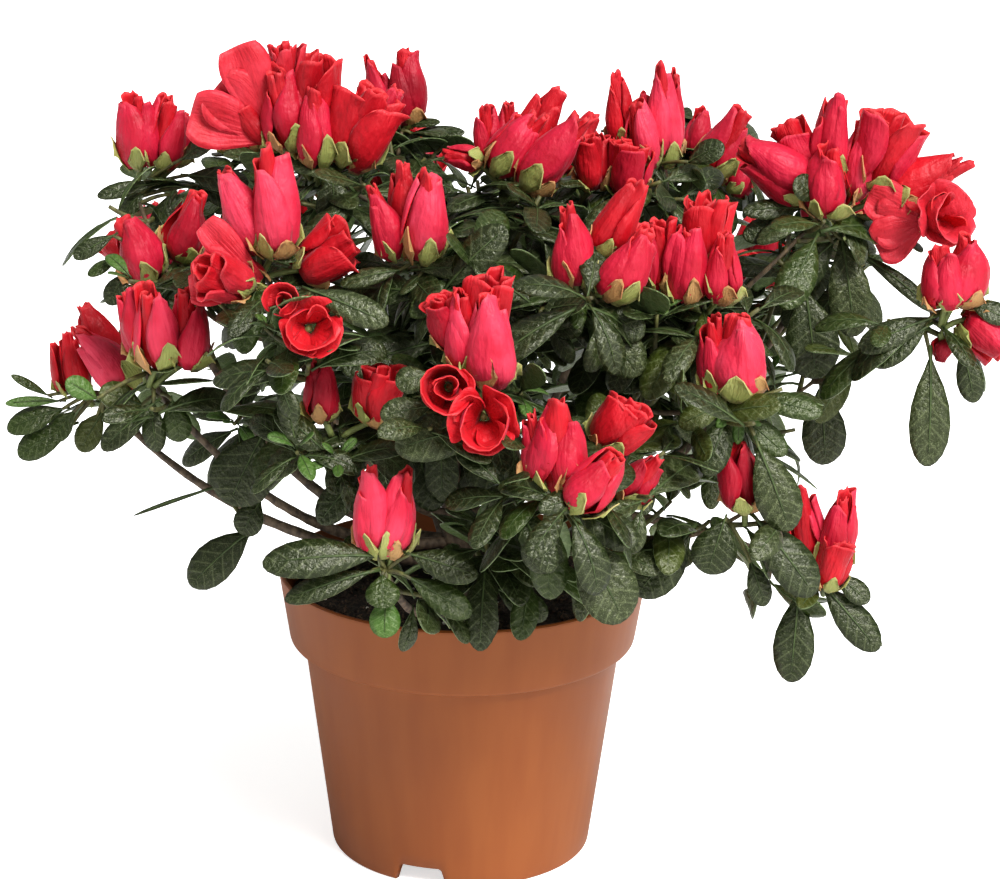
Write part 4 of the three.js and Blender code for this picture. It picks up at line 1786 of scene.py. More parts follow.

# What each cluster holds: kind, right, up, lean to the right, length and width.
# The rose and blush tints below are partly painted light: lighter reds given to some flowers in place of the
# light on them.
CLUSTERS = {
    "left_crest": (
        Flower(B, 3, 6, -6, 27, 16), Flower(B, 10, 6, 8, 26, 15), Flower(B, 13, 6, 18, 19, 11, y=8),
        Flower(B, 22, 10, 4, 13, 9, y=10),
    ),
    "left_pair": (
        Flower(B, -4, -5, -25, 25, 17), Flower(B, 5, 1, 15, 24, 17, y=6, tint=Tint.DEEP),
    ),
    "left_front_crest": (
        Flower(B, 0, 3, -24, 31, 16.5, tint=Tint.ROSE),
        Flower(B, 6, 3, -7, 35, 18, y=-4, tint=Tint.ROSE),
        Flower(Bloom.FAN, 1, -6, -64, 23, 15, y=-6, tint=Tint.BLUSH_PAINTED_LIGHT),
        Flower(T, -3, -6, -66, 19, 15, y=-10, nod=28, tint=Tint.BLUSH_PAINTED_LIGHT),
        Flower(T, 14, -4, 52, 20, 17, tint=Tint.SCARLET),
    ),
    "left_rosette": (
        Flower(C, -1, 8, -8, 8, 12, nod=72, tint=Tint.SCARLET), Flower(R, 7, 1, 5, 13, 21, y=-3, nod=74),
    ),
    "crown_left": (
        Flower(Bloom.FAN, -15, 11, -42, 29, 25, y=3, tint=Tint.BLUSH_PAINTED_LIGHT),
        Flower(T, -10, 24, -2, 20, 9, y=4, tint=Tint.BLUSH_PAINTED_LIGHT), Flower(B, -9, 8, -8, 27, 16, y=-2),
        Flower(T, -2, 10, -2, 31, 20, y=4, tint=Tint.SCARLET), Flower(B, 1, 3, -3, 29, 16, y=-6),
        Flower(T, 11, 3, 22, 28, 21, y=-4, tint=Tint.SCARLET), Flower(B, 17, 13, 34, 19, 13, y=4),
    ),
    "crown_back_left": (
        Flower(B, -5, 0, -18, 25, 12), Flower(B, 1.5, 0, -2, 27, 16, tint=Tint.DEEP),
        Flower(B, 1, -1, 4, 22, 11),
    ),
    "front_crest": (
        Flower(B, -12.5, -1, -20, 26, 13), Flower(B, -10, 1, -4, 28, 12.5, y=4, tint=Tint.SCARLET),
        Flower(B, -5, -1, 4, 31, 16, y=-3, tint=Tint.ROSE),
    ),
    "crown_middle": (
        Flower(B, -11, 8, -78, 13, 9, y=-3), Flower(B, -7, 5, -8, 21, 10, y=4),
        Flower(B, -2, 7, 2, 21, 11, y=8),
        Flower(B, -6, 5, 38, 27, 15, y=-3), Flower(B, 2, 7, 29, 29, 14, y=4, tint=Tint.SCARLET),
        Flower(B, 5, 0, 38, 32, 16.5, y=-6),
    ),
    "crown_right": (
        Flower(T, -18, -5, -10, 19, 13, y=-10, tint=Tint.SCARLET), Flower(T, -7.5, -7, 2, 20, 15, y=-12),
        Flower(B, -8.5, 8, -8, 25, 11.5, tint=Tint.SCARLET), Flower(B, -3, 8, 7, 18, 10, y=4),
        Flower(B, -1, 1, -9, 25, 13.5, y=-6, tint=Tint.ROSE), Flower(B, 5, 1, -2, 37, 13.5, tint=Tint.ROSE),
        Flower(B, 8, 3, 2, 31, 9, y=4),
    ),
    "back_right_crest": (
        Flower(B, -2, -8, 29, 27, 15, y=-10), Flower(B, 6, -14, 50, 16, 13, y=-8),
        Flower(B, -7, -5, 10, 19, 12),
    ),
    "right_crest": (
        Flower(B, -8, 4, -60, 29, 19, y=-3), Flower(T, -6, 6, -26, 24, 15, y=3),
        Flower(B, -1, 8, 2, 30, 12.5),
        Flower(B, -2, -3, -2, 25, 19, y=-8), Flower(B, 7, 1, 6, 28, 14, tint=Tint.ROSE),
        Flower(T, 13, 5, 15, 29, 20), Flower(B, 19, 1, 62, 30, 18, tint=Tint.SCARLET),
        Flower(Bloom.FAN, 31, -5, -86, 19, 21, y=-7, tint=Tint.BLUSH_PAINTED_LIGHT),
        Flower(R, 33, -4, 52, 15, 24, y=-7, nod=58, tint=Tint.BLUSH_PAINTED_LIGHT),
    ),
    "far_right": (
        Flower(B, 5, 4, 8, 23, 20), Flower(B, 1, 3, -9, 21, 16, y=-4), Flower(T, 8, -2, 120, 18, 17),
        Flower(S, 1, -9, 180, 8, 8, tint=Tint.DEEP),
    ),
    "front_right_crest": (
        Flower(B, -1, -1, -6, 26, 15), Flower(B, 7, 8, 27, 27, 14, y=4, tint=Tint.SCARLET),
        Flower(B, 10, -4, 28, 25, 16, y=-4),
    ),
    "right_front_crest": (
        Flower(T, -14, 3, -6, 23, 13), Flower(B, -6, -1, -1, 26, 14, y=-3), Flower(B, 5, 0, 3, 24, 14, y=-4),
        Flower(T, -1, 4, 2, 29, 14, y=8, tint=Tint.SCARLET),
    ),
    "front_right_bud": (
        Flower(B, 0, 0, 0, 28, 21, tint=Tint.ROSE), Flower(B, -5, 1, -7, 25, 13, y=2),
    ),
    "front_cluster": (
        Flower(B, 4, 1, 1, 31, 18, y=-2, tint=Tint.ROSE),
        Flower(B, -1, 6, -9, 25, 16, y=1, tint=Tint.ROSE),
        Flower(T, 3, 8, 4, 28, 14, y=6, tint=Tint.SCARLET),
        Flower(T, -6, 12, -18, 17, 14, y=6, tint=Tint.DEEP),
        Flower(C, -8, 3, -6, 13, 17, y=-10, nod=76, tint=Tint.SCARLET),
        Flower(R, 3, -6, 4, 13, 24, y=-12, nod=82),
    ),
    "front_left_pair": (
        Flower(T, 13, 0, 8, 19, 15, tint=Tint.SCARLET), Flower(S, -4, 1, -4, 19, 12, tint=Tint.DEEP),
    ),
    "front_low_pair": (
        Flower(B, -2, 6, -8, 29, 14, tint=Tint.ROSE), Flower(B, 2, 6, 9, 30, 13.5, tint=Tint.ROSE),
    ),
    "front_low_cluster": (
        Flower(B, 2.5, -2, 0, 29, 20), Flower(B, -1.5, -2, -9, 24, 11, y=3),
        Flower(B, 8, -5, 36, 22, 18, y=-7),
    ),
    "front_open_pair": (
        Flower(T, -7, 3, 33, 18, 17, tint=Tint.SCARLET), Flower(B, 0, -15, 34, 18, 13, tint=Tint.DEEP),
    ),
    "right_low_bud": (Flower(S, 0, 1, -8, 24, 15, tint=Tint.DEEP),),
    "right_low_trio": (
        Flower(B, 2, 5, 9, 28, 14, y=-2), Flower(B, -4, 5, -12, 28, 14, tint=Tint.ROSE),
        Flower(T, 0.5, 0, 12, 18, 12, y=-7, tint=Tint.SCARLET),
    ),
    "left_trio": (
        Flower(B, 0, 5, -15, 25, 13, y=4), Flower(B, 4.5, 3, -6, 28, 17, y=-2, tint=Tint.ROSE),
        Flower(B, 13, 3, 4, 27, 17),
    ),
    "far_left": (
        Flower(B, -8, 0, -7, 22, 13, tint=Tint.SCARLET),
        Flower(B, 7, 5, -24, 31, 16, y=4, tint=Tint.SCARLET),
        Flower(B, 14, 4, -42, 30, 16, y=-9, tint=Tint.ROSE),
    ),
}
# How far a cluster's seat lies from its mass's usual one: right, back and up.
SHIFTS = {
    "far_right": (21.5, -2.0, 3.0),
    "front_low_cluster": (-9.0, 0.0, 15.0),
    "far_left": (-1.0, 0.0, -8.0),
    "front_open_pair": (-4.0, 0.0, -10.0),
    "front_right_bud": (-4.0, 0.0, -3.0),
    "right_low_bud": (-9.0, 0.0, 1.0),
    "far_back_left": (10.0, 0.0, -8.0),
    "crown_back": (0.0, 0.0, -13.0),
    "right_drape": (-11.0, 0.0, 4.0),
    "right_skirt": (-3.0, 0.0, 5.0),
    "left_back_skirt": (9.0, 0.0, 6.0),
}


@dataclass(frozen=True)
class Blade:
    """One leaf that stands clear of the crown, placed from its shoot's seat as a flower is."""

    x: float
    z: float
    lean: float
    length: float
    breadth: float
    y: float = -4.0
    nod: float = 12.0
    tone: Tone = Tone.DARK


# What each seat holds besides its whorl: right, up, lean to the right, length and breadth.
BLADES = {
    "far_right": (
        Blade(-3, -15, 180, 36, 14, tone=Tone.GREY), Blade(7, -11, 165, 19, 9),
        Blade(-4, -1, -112, 26, 10), Blade(-5, -4, -125, 22, 10), Blade(9, 4, 110, 14, 8),
    ),
    "right_crest": (
        Blade(3, -13, 171, 34, 15, tone=Tone.GREY), Blade(0, -14, -134, 23, 14),
        Blade(-9, -30, 172, 30, 19, y=-10), Blade(10, -18, 126, 32, 6),
        Blade(-11, -2, -91, 21, 8), Blade(-7, 3, -48, 11, 10, y=-12), Blade(-12, -8, -100, 20, 10),
    ),
    "crown_right": (Blade(13, 5, 61, 14, 9, y=-14),),
    "right_drape": (Blade(-3, -6, 175, 27, 16),),
    "right_low_trio": (
        Blade(-8.5, -4, 184, 30, 14), Blade(0, -1, 138, 28, 12), Blade(4, 3, 128, 14, 8),
    ),
    "right_low_bud": (
        Blade(4, -2, 141, 30, 15), Blade(3, 23, 158, 29, 15, tone=Tone.GREY), Blade(2, -16, 160, 15, 8),
        Blade(-7, -2, -163, 18, 15),
    ),
    "right_skirt": (Blade(17, 2, -140, 27, 16),),
    "front_low_cluster": (
        Blade(10, -16, 151, 29, 19, tone=Tone.GREY), Blade(-1, -10, 185, 17, 13), Blade(8, -6, 118, 22, 12),
    ),
    "front_skirt": (Blade(-4, -13, 180, 17, 10), Blade(0, -12, 118, 19, 10)),
    "front_low_pair": (
        Blade(-3, 6.5, -91, 36, 13), Blade(-5, 1, -106, 28, 9), Blade(8, 7, 104, 22, 11),
        Blade(8, -1, 119, 22, 10, tone=Tone.MIDDLE), Blade(0, -7, 180, 13, 10, tone=Tone.YOUNG, nod=25),
        Blade(-1, 0, 176, 11, 11, tone=Tone.MIDDLE, nod=40),
    ),
    "left_drape": (
        Blade(8.5, -11.5, -132, 27, 14), Blade(12, -1, -152, 13, 10), Blade(13, 22, -154, 25, 21, y=-6),
        Blade(-1, 4, -107, 30, 1.5),
    ),
    "far_left": (
        Blade(-12, -5, -109, 21, 10, tone=Tone.MIDDLE), Blade(-9, -11, -119, 22, 11, tone=Tone.MIDDLE),
        Blade(-17, 0, -56, 15, 3.5, tone=Tone.MIDDLE), Blade(-13, -2, -90, 19, 4, tone=Tone.YOUNG),
        Blade(-8, -6, -140, 13, 9, tone=Tone.MIDDLE), Blade(2, -6, -150, 16, 10, tone=Tone.OLIVE),
        Blade(0, -8, -150, 9, 9),
    ),
    "left_trio": (
        Blade(3, -9, -131, 23, 9), Blade(9, -8, 169, 14, 10, tone=Tone.MIDDLE),
        Blade(-2, -12, -67, 15, 10, y=4, tone=Tone.OLIVE),
        Blade(-14, -4, -54, 12, 7.5, y=-16, tone=Tone.YOUNG),
    ),
    "left_crest": (
        Blade(8.5, 1, -101, 21, 6), Blade(4, -2, -137, 12, 7), Blade(13, -3, -160, 17, 8),
        Blade(18, 10.5, 53, 15, 8, y=-8),
        Blade(19, 3, 95, 22, 10, y=0), Blade(22, -1, 112, 16, 8, y=2),
    ),
    "left_pair": (
        Blade(-16, 11, -119, 15, 6), Blade(-15, 3, -118, 11, 5, tone=Tone.MIDDLE),
        Blade(-12, -2, -149, 12, 8),
    ),
    "crown_left": (Blade(6, 1, 175, 18, 13, y=-12),),
    "crown_back_left": (Blade(2, 0, 80, 12, 4), Blade(3, -3, 85, 20, 6)),
    "front_crest": (
        Blade(-12, -4.5, -101, 20, 7, tone=Tone.GREY), Blade(-6, -4, 86, 21, 8, tone=Tone.GREY),
        Blade(-6, -7, 97, 19, 8),
    ),
    "left_rosette": (Blade(7.5, 13, 110, 26, 10, tone=Tone.GREY),),
    "heart_front": (
        Blade(-7, 4, -105, 30, 15, y=-38), Blade(-14, -42, 162, 28, 14, y=10),
        Blade(-5, -40, 198, 30, 15, y=16), Blade(4, -44, 150, 28, 14, y=12),
        Blade(12, -38, 190, 30, 15, y=18), Blade(-10, -50, -118, 24, 12, y=8),
        Blade(-4, -38, 178, 26, 12, y=4), Blade(-22, -46, 170, 24, 13, y=-4),
        Blade(-30, -50, -140, 24, 12, y=-6),
    ),
    "front_right_crest": (
        Blade(4, -6.5, -108, 16, 11), Blade(6.5, -6.5, 125, 18, 11),
        Blade(7, -13.5, 140, 21, 14, tone=Tone.GREY),
        Blade(-1, -6.5, -157, 12, 12),
    ),
    "front_cluster": (
        Blade(-14, 5, -105, 11, 9, tone=Tone.GREY), Blade(-13.5, -4, -99, 16, 9, y=-8, tone=Tone.GREY),
    ),
    "front_right_bud": (
        Blade(5, 0, 98, 23, 9, tone=Tone.MIDDLE), Blade(1, -5, 129, 20, 9, tone=Tone.MIDDLE),
        Blade(-4, -2, -114, 16, 9, tone=Tone.OLIVE), Blade(0, -3, -135, 9, 4, tone=Tone.YOUNG),
        Blade(2, -4, 137, 9, 4, tone=Tone.YOUNG), Blade(1, -5, 180, 10, 4, tone=Tone.YOUNG),
    ),
}
# Openings in the crown, seen from the front: right and up on the plant's middle plane, and radius.
OPENINGS = (
    (-129, 236, 5), (-121, 226, 5), (-132, 198, 6), (-122, 194, 5), (-88, 193, 4), (-121, 140, 6),
    (-103, 146, 5), (-136, 143, 6), (-58, 127, 7), (-71, 104, 5), (-49, 114, 5), (-71, 126, 4),
    (153, 174, 7), (133, 151, 6), (139, 160, 6), (113, 171, 4), (72, 94, 5), (84, 100, 5),
    (97, 103, 5), (98, 116, 4), (148, 207, 7), (158, 215, 5), (136, 215, 3), (0, 264, 4),
    (169, 172, 5), (117, 151, 4), (-62, 116, 4), (-45, 122, 4), (-110, 226, 3),
    (-138, 222, 4), (119, 170, 3), (114, 162, 4), (78, 126, 3), (66, 114, 3), (-9, 267, 4),
    (104, 263, 4), (-95, 264, 3),
)
# Masses with fewer or more side shoots than usual.
SIDE_SHOOTS = {
    "left_drape": 0, "right_drape": 2, "far_right": 2, "right_crest": 3, "left_crest": 2,
    "far_left": 1, "right_low_trio": 1, "right_low_bud": 2, "front_skirt": 4, "front_low_pair": 1,
    "left_trio": 2, "right_skirt": 2, "left_back_skirt": 2, "heart_front": 16, "heart_right": 20,
    "heart_back": 16, "far_back_left": 3, "back_right_skirt": 8, "crown_right": 6,
    "crown_middle": 6, "back_right_crest": 6, "back_shoulder": 6, "right_front_crest": 5,
}
# Masses whose leading shoot carries fewer leaves of its own than usual.
WHORLS = {
    "front_low_pair": 0, "left_drape": 0, "far_right": 3, "right_low_trio": 2, "right_drape": 2,
    "right_low_bud": 3, "right_skirt": 4, "far_left": 2, "front_skirt": 5, "front_cluster": 5,
    "left_rosette": 4, "left_trio": 4,
}
# Masses with leaves only.
LEAFY = {
    "heart_front", "heart_back", "heart_right", "front_skirt", "right_skirt", "left_drape",
    "right_drape", "back_skirt", "back_left_skirt", "back_right_skirt", "left_back_skirt",
}
# What the rule deals out: kinds of flower, their length and width, and reds, to the masses that
# CLUSTERS and LEAFY leave out, and a green to every shoot, each with its share.
USUAL_KINDS = (B, B, B, T, T, R, F, S)
USUAL_SIZES = {B: (28.0, 14.5), T: (22.0, 18.0), R: (14.0, 21.0), F: (26.0, 32.0), S: (20.0, 10.0)}
# Rose among these is partly painted light, a lighter copy of the crimson.
USUAL_TINTS = (Tint.CRIMSON, Tint.ROSE, Tint.SCARLET, Tint.DEEP)
USUAL_GREENS = {Tone.DARK: 0.38, Tone.GREY: 0.30, Tone.MIDDLE: 0.20, Tone.OLIVE: 0.12}


@dataclass(frozen=True)
class Habit:
    """How leaves stand on a shoot, where a pair is the least and the most.

    Droops and angle_play are degrees, turn_play and twist are radians, from_shoot and below_tip
    are millimetres, and the rest are shares.
    """

    turn_play: float = 0.15
    angle_play: float = 7.0
    last_length: float = 0.62
    lower_gain: float = 0.38
    uneven: tuple = (0.84, 1.12)
    from_shoot: float = 1.0
    below_tip: float = 1.0
    droop: tuple = (18.0, 62.0)
    lower_droop: float = 12.0
    end_share: float = 0.85
    sag: float = 0.4
    least: float = 0.45
    breadth: tuple = (0.37, 0.50)
    twist: float = 0.28
    wave: tuple = (0.0, 0.07)
    fold: tuple = (0.06, 0.26)
    roll: tuple = (0.06, 0.30)
    tried_at: tuple = (0.3, 0.55, 0.8, 1.0)


@dataclass
class Crown:
    """Grows side shoots, leaves and flowers on from the leaders, by a seeded rule."""

    limbs: Limbs
    leaves: Leaves
    florist: Florist
    twigs: Piece
    habit: Habit = Habit()
    seed: int = 23
    side_shoots: int = 4
    leafy_shoots: int = 8
    back_shoots: int = 2
    shoot_foot: float = 1.05
    shoot_tip: float = 0.7
    shoot_steps: int = 9
    shoot_sides: int = 6
    shoot_roots: tuple = (0.45, 0.92)
    shoot_sag: float = 0.10
    shoot_play: float = 0.22
    heart_lowest: float = -0.95
    usual_lowest: float = -0.62
    leafy_highest: float = 0.70
    usual_highest: float = 0.02
    level_play: tuple = (0.75, 1.1)
    onward: float = 0.8
    leafy_up: float = 0.5
    usual_up: float = 0.25
    whorl_leaves: int = 9
    fewest_leaves: int = 4
    whorl_lean: float = 0.38
    whorl_below: float = 2.5
    flower_rise: tuple = (84.0, 110.0)
    bare_rise: tuple = (66.0, 104.0)
    side_rise: tuple = (46.0, 98.0)
    young_share: float = 0.22
    young_leaves: int = 4
    young_rise: tuple = (24.0, 62.0)
    young_step: float = 0.6
    young_length: tuple = (9.0, 15.0)
    side_leaves: int = 6
    side_length: tuple = (0.7, 0.95)
    longest: float = 35.0
    beside_blades: float = 0.8
    reach: float = 0.62
    spare: float = 4.0
    twig_steps: int = 6
    twig_sides: int = 5
    twig_radii: tuple = (0.9, 0.6)
    flower_ring: float = 6.0
    flower_tilt: tuple = (10.0, 34.0)
    flower_lean: float = 14.0
    flower_tries: tuple = (0.35, 0.6, 0.85)
    flower_cover: float = 0.40

    def __post_init__(self) -> None:
        """Takes the eye's place, and gathers the wood's, the flowers' and the openings' places."""
        self.eye = np.array(CAMERA_PLACE) / MM
        self.wood = np.concatenate(list(self.limbs.leaders.values()))
        places, radii = [], []
        for name, flowers in CLUSTERS.items():
            for flower in flowers:
                base = self.limbs.masses[name].seat + np.array([flower.x, flower.y, flower.z])
                axis = leaning(flower.lean, flower.nod)
                for share in self.flower_tries:
                    places.append(base + share * flower.length * axis)
                    radii.append(self.flower_cover * flower.width)
        self.flower_places = np.array(places)
        self.flower_radii = np.array(radii)
        right, up, radius = np.array(OPENINGS, dtype=float).T
        self.opening_places = np.stack([right, np.zeros(len(right)), up], axis=1)
        self.opening_radii = radius

    def whorl(
        self, mass: Mass, tip: Array, axis: Array, count: int, longest: float, tone: Tone,
        rise: tuple[float, float], step: float = 1.4,
    ) -> None:
        """Sets leaves round a shoot's end, each turned by the golden angle from the last.

        The angle from the shoot grows from the first leaf to the last, and so does the length.

        Args:
            mass: The mass whose box the leaves keep to.
            tip: The shoot's end.
            axis: Which way the shoot points.
            count: How many leaves.
            longest: The lowest leaf's length.
            tone: Their green.
            rise: The first and the last leaf's angle from the shoot, in degrees.
            step: The distance between leaves along the shoot.
        """
        habit, rng = self.habit, self.florist.rng
        order = np.arange(count)
        share = order / max(count - 1, 1)
        turn = rng.uniform(0, FULL_TURN) + GOLDEN_ANGLE * order
        turn = turn + rng.normal(0, habit.turn_play, count)
        side, front = self.florist.around(axis)
        out = np.cos(turn)[:, None] * side + np.sin(turn)[:, None] * front
        angle = rise[0] + (rise[1] - rise[0]) * share + rng.normal(0, habit.angle_play, count)
        angle = np.radians(angle)
        ahead = unit(np.cos(angle)[:, None] * axis + np.sin(angle)[:, None] * out)
        upper = across(np.broadcast_to(axis + 0.5 * UP, ahead.shape), ahead)
        length = longest * (habit.last_length + habit.lower_gain * share)
        length = length * rng.uniform(*habit.uneven, count)
        below = habit.below_tip + step * order
        foot = tip - below[:, None] * axis + habit.from_shoot * out
        droop = np.radians(rng.uniform(*habit.droop, count) + habit.lower_droop * share)
        fall = habit.sag * droop[:, None] * upper
        end = foot + habit.end_share * length[:, None] * (ahead - fall)
        over = np.max(np.abs(end - mass.middle) - mass.half - self.spare, axis=1)
        length = np.clip(length - np.maximum(over, 0), habit.least * longest, None)
        plan = {
            "foot": foot + self.leaves.stalk_share * length[:, None] * ahead,
            "ahead": ahead, "upper": upper, "length": length,
            "breadth": length * rng.uniform(*habit.breadth, count), "droop": droop,
            "twist": rng.normal(0, habit.twist, count), "wave": rng.uniform(*habit.wave, count),
            "phase": rng.uniform(*ANY_PHASE, count), "fold": rng.uniform(*habit.fold, count),
            "roll": rng.uniform(*habit.roll, count),
        }
        kept = self.clear(plan)
        self.leaves.add(tone, **{key: values[kept] for key, values in plan.items()})

    def clear(self, plan: dict) -> Array:
        """Tells which leaves leave the openings free and don't stand before a flower.

        Each leaf is tried at four points. The distance from a place P to the line of sight with
        direction s is |P - (P . s) s|, both measured from the eye.

        Args:
            plan: The leaves' feet, directions, lengths and droop.

        Returns:
            True for each leaf that may stay.
        """
        along = np.array(self.habit.tried_at)[:, None, None]
        length = plan["length"][:, None]
        sag = self.habit.sag * along * plan["droop"][:, None] * plan["upper"]
        points = plan["foot"] + along * length * (plan["ahead"] - sag) - self.eye
        near = np.linalg.norm(points, axis=-1)
        sight = points / near[..., None]

        def off(places: Array) -> tuple[Array, Array]:
            """Measures each place's distance from each line of sight, and its depth."""
            gap = places - self.eye
            depth = sight @ gap.T
            return np.linalg.norm(gap - depth[..., None] * sight[..., None, :], axis=-1), depth

        opening, _ = off(self.opening_places)
        flower, depth = off(self.flower_places)
        hidden = (flower < self.flower_radii) & (near[..., None] < depth - 1.0)
        stray = (opening < self.opening_radii).any(axis=(0, 2)) | hidden.any(axis=(0, 2))
        return ~stray

    def loose(self, blade: Blade, mass: Mass) -> None:
        """Adds one leaf that stands clear, with the short twig that carries it.

        Args:
            blade: Its place, lean and size.
            mass: The mass whose seat it is placed from.
        """
        rng = self.florist.rng
        ahead = leaning(blade.lean, blade.nod)
        foot = mass.seat + np.array([blade.x, blade.y, blade.z])
        upper = across(np.array([0.0, -0.8, 0.6]), ahead)
        start = self.wood[np.argmin(np.linalg.norm(self.wood - foot, axis=1))]
        path = bend(start, (start + foot) / 2 + 1.5 * UP, foot, self.twig_steps)
        radii = np.linspace(*self.twig_radii, self.twig_steps)[None]
        self.twigs.add_tubes(tube_rings(path, radii, self.twig_sides))
        row = {
            "length": blade.length, "breadth": blade.breadth, "droop": rng.uniform(0.25, 0.7),
            "twist": rng.normal(0, 0.15), "wave": 0.03, "phase": rng.uniform(*ANY_PHASE),
            "fold": rng.uniform(0.08, 0.2), "roll": rng.uniform(0.08, 0.25),
        }
        start_ahead = unit(ahead + 0.5 * row["droop"] * upper)
        start_upper = across(upper, start_ahead)
        self.leaves.add(
            blade.tone, foot=foot[None], ahead=start_ahead[None], upper=start_upper[None],
            **{key: np.array([value]) for key, value in row.items()},
        )

    def tone(self) -> Tone:
        """Deals out a green to a shoot."""
        tones = np.array([*USUAL_GREENS], dtype=object)
        return self.florist.rng.choice(tones, p=[*USUAL_GREENS.values()])

    def tips(self, mass: Mass, count: int, leafy: bool) -> Array:
        """Places side shoots' tips round a mass's seat, evenly by turn and within its box.

        Args:
            mass: The mass.
            count: How many shoots.
            leafy: Whether the mass has leaves only, and so shoots above its seat too.

        Returns:
            One point per shoot.
        """
        rng = self.florist.rng
        turn = rng.uniform(0, FULL_TURN) + FULL_TURN * np.arange(count) / count
        turn = turn + rng.normal(0, self.shoot_play, count)
        lowest = self.heart_lowest if mass.name.startswith("heart") else self.usual_lowest
        highest = self.leafy_highest if leafy else self.usual_highest
        lift = rng.uniform(lowest, highest, count)
        level = np.sqrt(1 - lift**2) * rng.uniform(*self.level_play, count)
        offset = np.stack([level * np.cos(turn), level * np.sin(turn), lift], axis=1)
        return mass.seat + self.reach * mass.half * offset

    def grow(self, mass: Mass, index: int) -> None:
        """Grows one mass: its side shoots, their leaves, and its flowers.

        Args:
            mass: The mass.
            index: Its number, which seeds its random numbers.
        """
        self.florist.rng = np.random.default_rng([self.seed, index])
        leafy = mass.name in LEAFY
        self.grow_shoots(mass, leafy)
        level = unit(mass.outward * np.array([1.0, 1.0, 0.0]))
        axis = unit(UP + self.whorl_lean * level)
        blades = BLADES.get(mass.name, ())
        usual = max(self.whorl_leaves - len(blades), self.fewest_leaves)
        count = WHORLS.get(mass.name, usual)
        if count:
            self.whorl(
                mass, mass.seat - self.whorl_below * axis, axis, count,
                self.longest * (self.beside_blades if blades else 1.0), self.tone(),
                self.flower_rise if mass.name in CLUSTERS else self.bare_rise,
            )
        for blade in blades:
            self.loose(blade, mass)
        for flower in self.flowers(mass, leafy):
            self.florist.bloom(flower, mass.seat)

    def grow_shoots(self, mass: Mass, leafy: bool) -> None:
        """Grows a mass's side shoots and the leaves that they carry.

        Args:
            mass: The mass.
            leafy: Whether the mass has leaves only.
        """
        rng = self.florist.rng
        leader = self.limbs.leaders[mass.name]
        usual = self.leafy_shoots if leafy else self.side_shoots
        usual += self.back_shoots * ("back" in mass.name)
        count = SIDE_SHOOTS.get(mass.name, usual)
        tips = self.tips(mass, count, leafy)
        lowest, highest = (int(share * len(leader)) for share in self.shoot_roots)
        roots = leader[rng.integers(lowest, highest, count)]
        sag = self.shoot_sag * np.linalg.norm(tips - roots, axis=1)[:, None] * UP
        paths = bend(roots, (roots + tips) / 2 - sag, tips, self.shoot_steps)
        radii = np.linspace(self.shoot_foot, self.shoot_tip, self.shoot_steps)
        if count:
            rings = tube_rings(paths, np.tile(radii, (count, 1)), self.shoot_sides)
            self.twigs.add_tubes(rings)
        for path in paths:
            ahead = unit(path[-1] - path[-3])
            growth = unit(self.onward * ahead + (self.leafy_up if leafy else self.usual_up) * UP)
            self.whorl(
                mass, path[-1], growth, self.side_leaves,
                self.longest * rng.uniform(*self.side_length), self.tone(), self.side_rise,
            )
            if rng.uniform() < self.young_share:
                self.whorl(
                    mass, path[-1] + 2 * UP, unit(growth + 0.4 * UP), self.young_leaves,
                    rng.uniform(*self.young_length), Tone.YOUNG, self.young_rise, self.young_step,
                )

    def flowers(self, mass: Mass, leafy: bool) -> tuple:
        """Gives a mass's flowers: its own cluster, or two to four drawn by the rule.

        Args:
            mass: The mass.
            leafy: Whether the mass has leaves only.

        Returns:
            The flowers.
        """
        if mass.name in CLUSTERS:
            return CLUSTERS[mass.name]
        if leafy:
            return ()
        rng = self.florist.rng
        count = int(rng.integers(2, 5))
        out = self.flower_lean * mass.outward
        made = []
        for index in range(count):
            turn = FULL_TURN * (index + rng.uniform(0, 0.4)) / count
            tilt = rng.uniform(*self.flower_tilt)
            kind = rng.choice(np.array(USUAL_KINDS, dtype=object))
            length, width = USUAL_SIZES[kind]
            tint = rng.choice(np.array(USUAL_TINTS, dtype=object))
            cos, sin = math.cos(turn), math.sin(turn)
            made.append(
                Flower(
                    kind, self.flower_ring * cos, rng.uniform(-1, 3), tilt * cos + out[0],
                    length * rng.uniform(0.85, 1.15), width * rng.uniform(0.9, 1.1),
                    y=self.flower_ring * sin, nod=-tilt * sin - out[1], tint=tint,
                )
            )
        return tuple(made)


# ---- stage


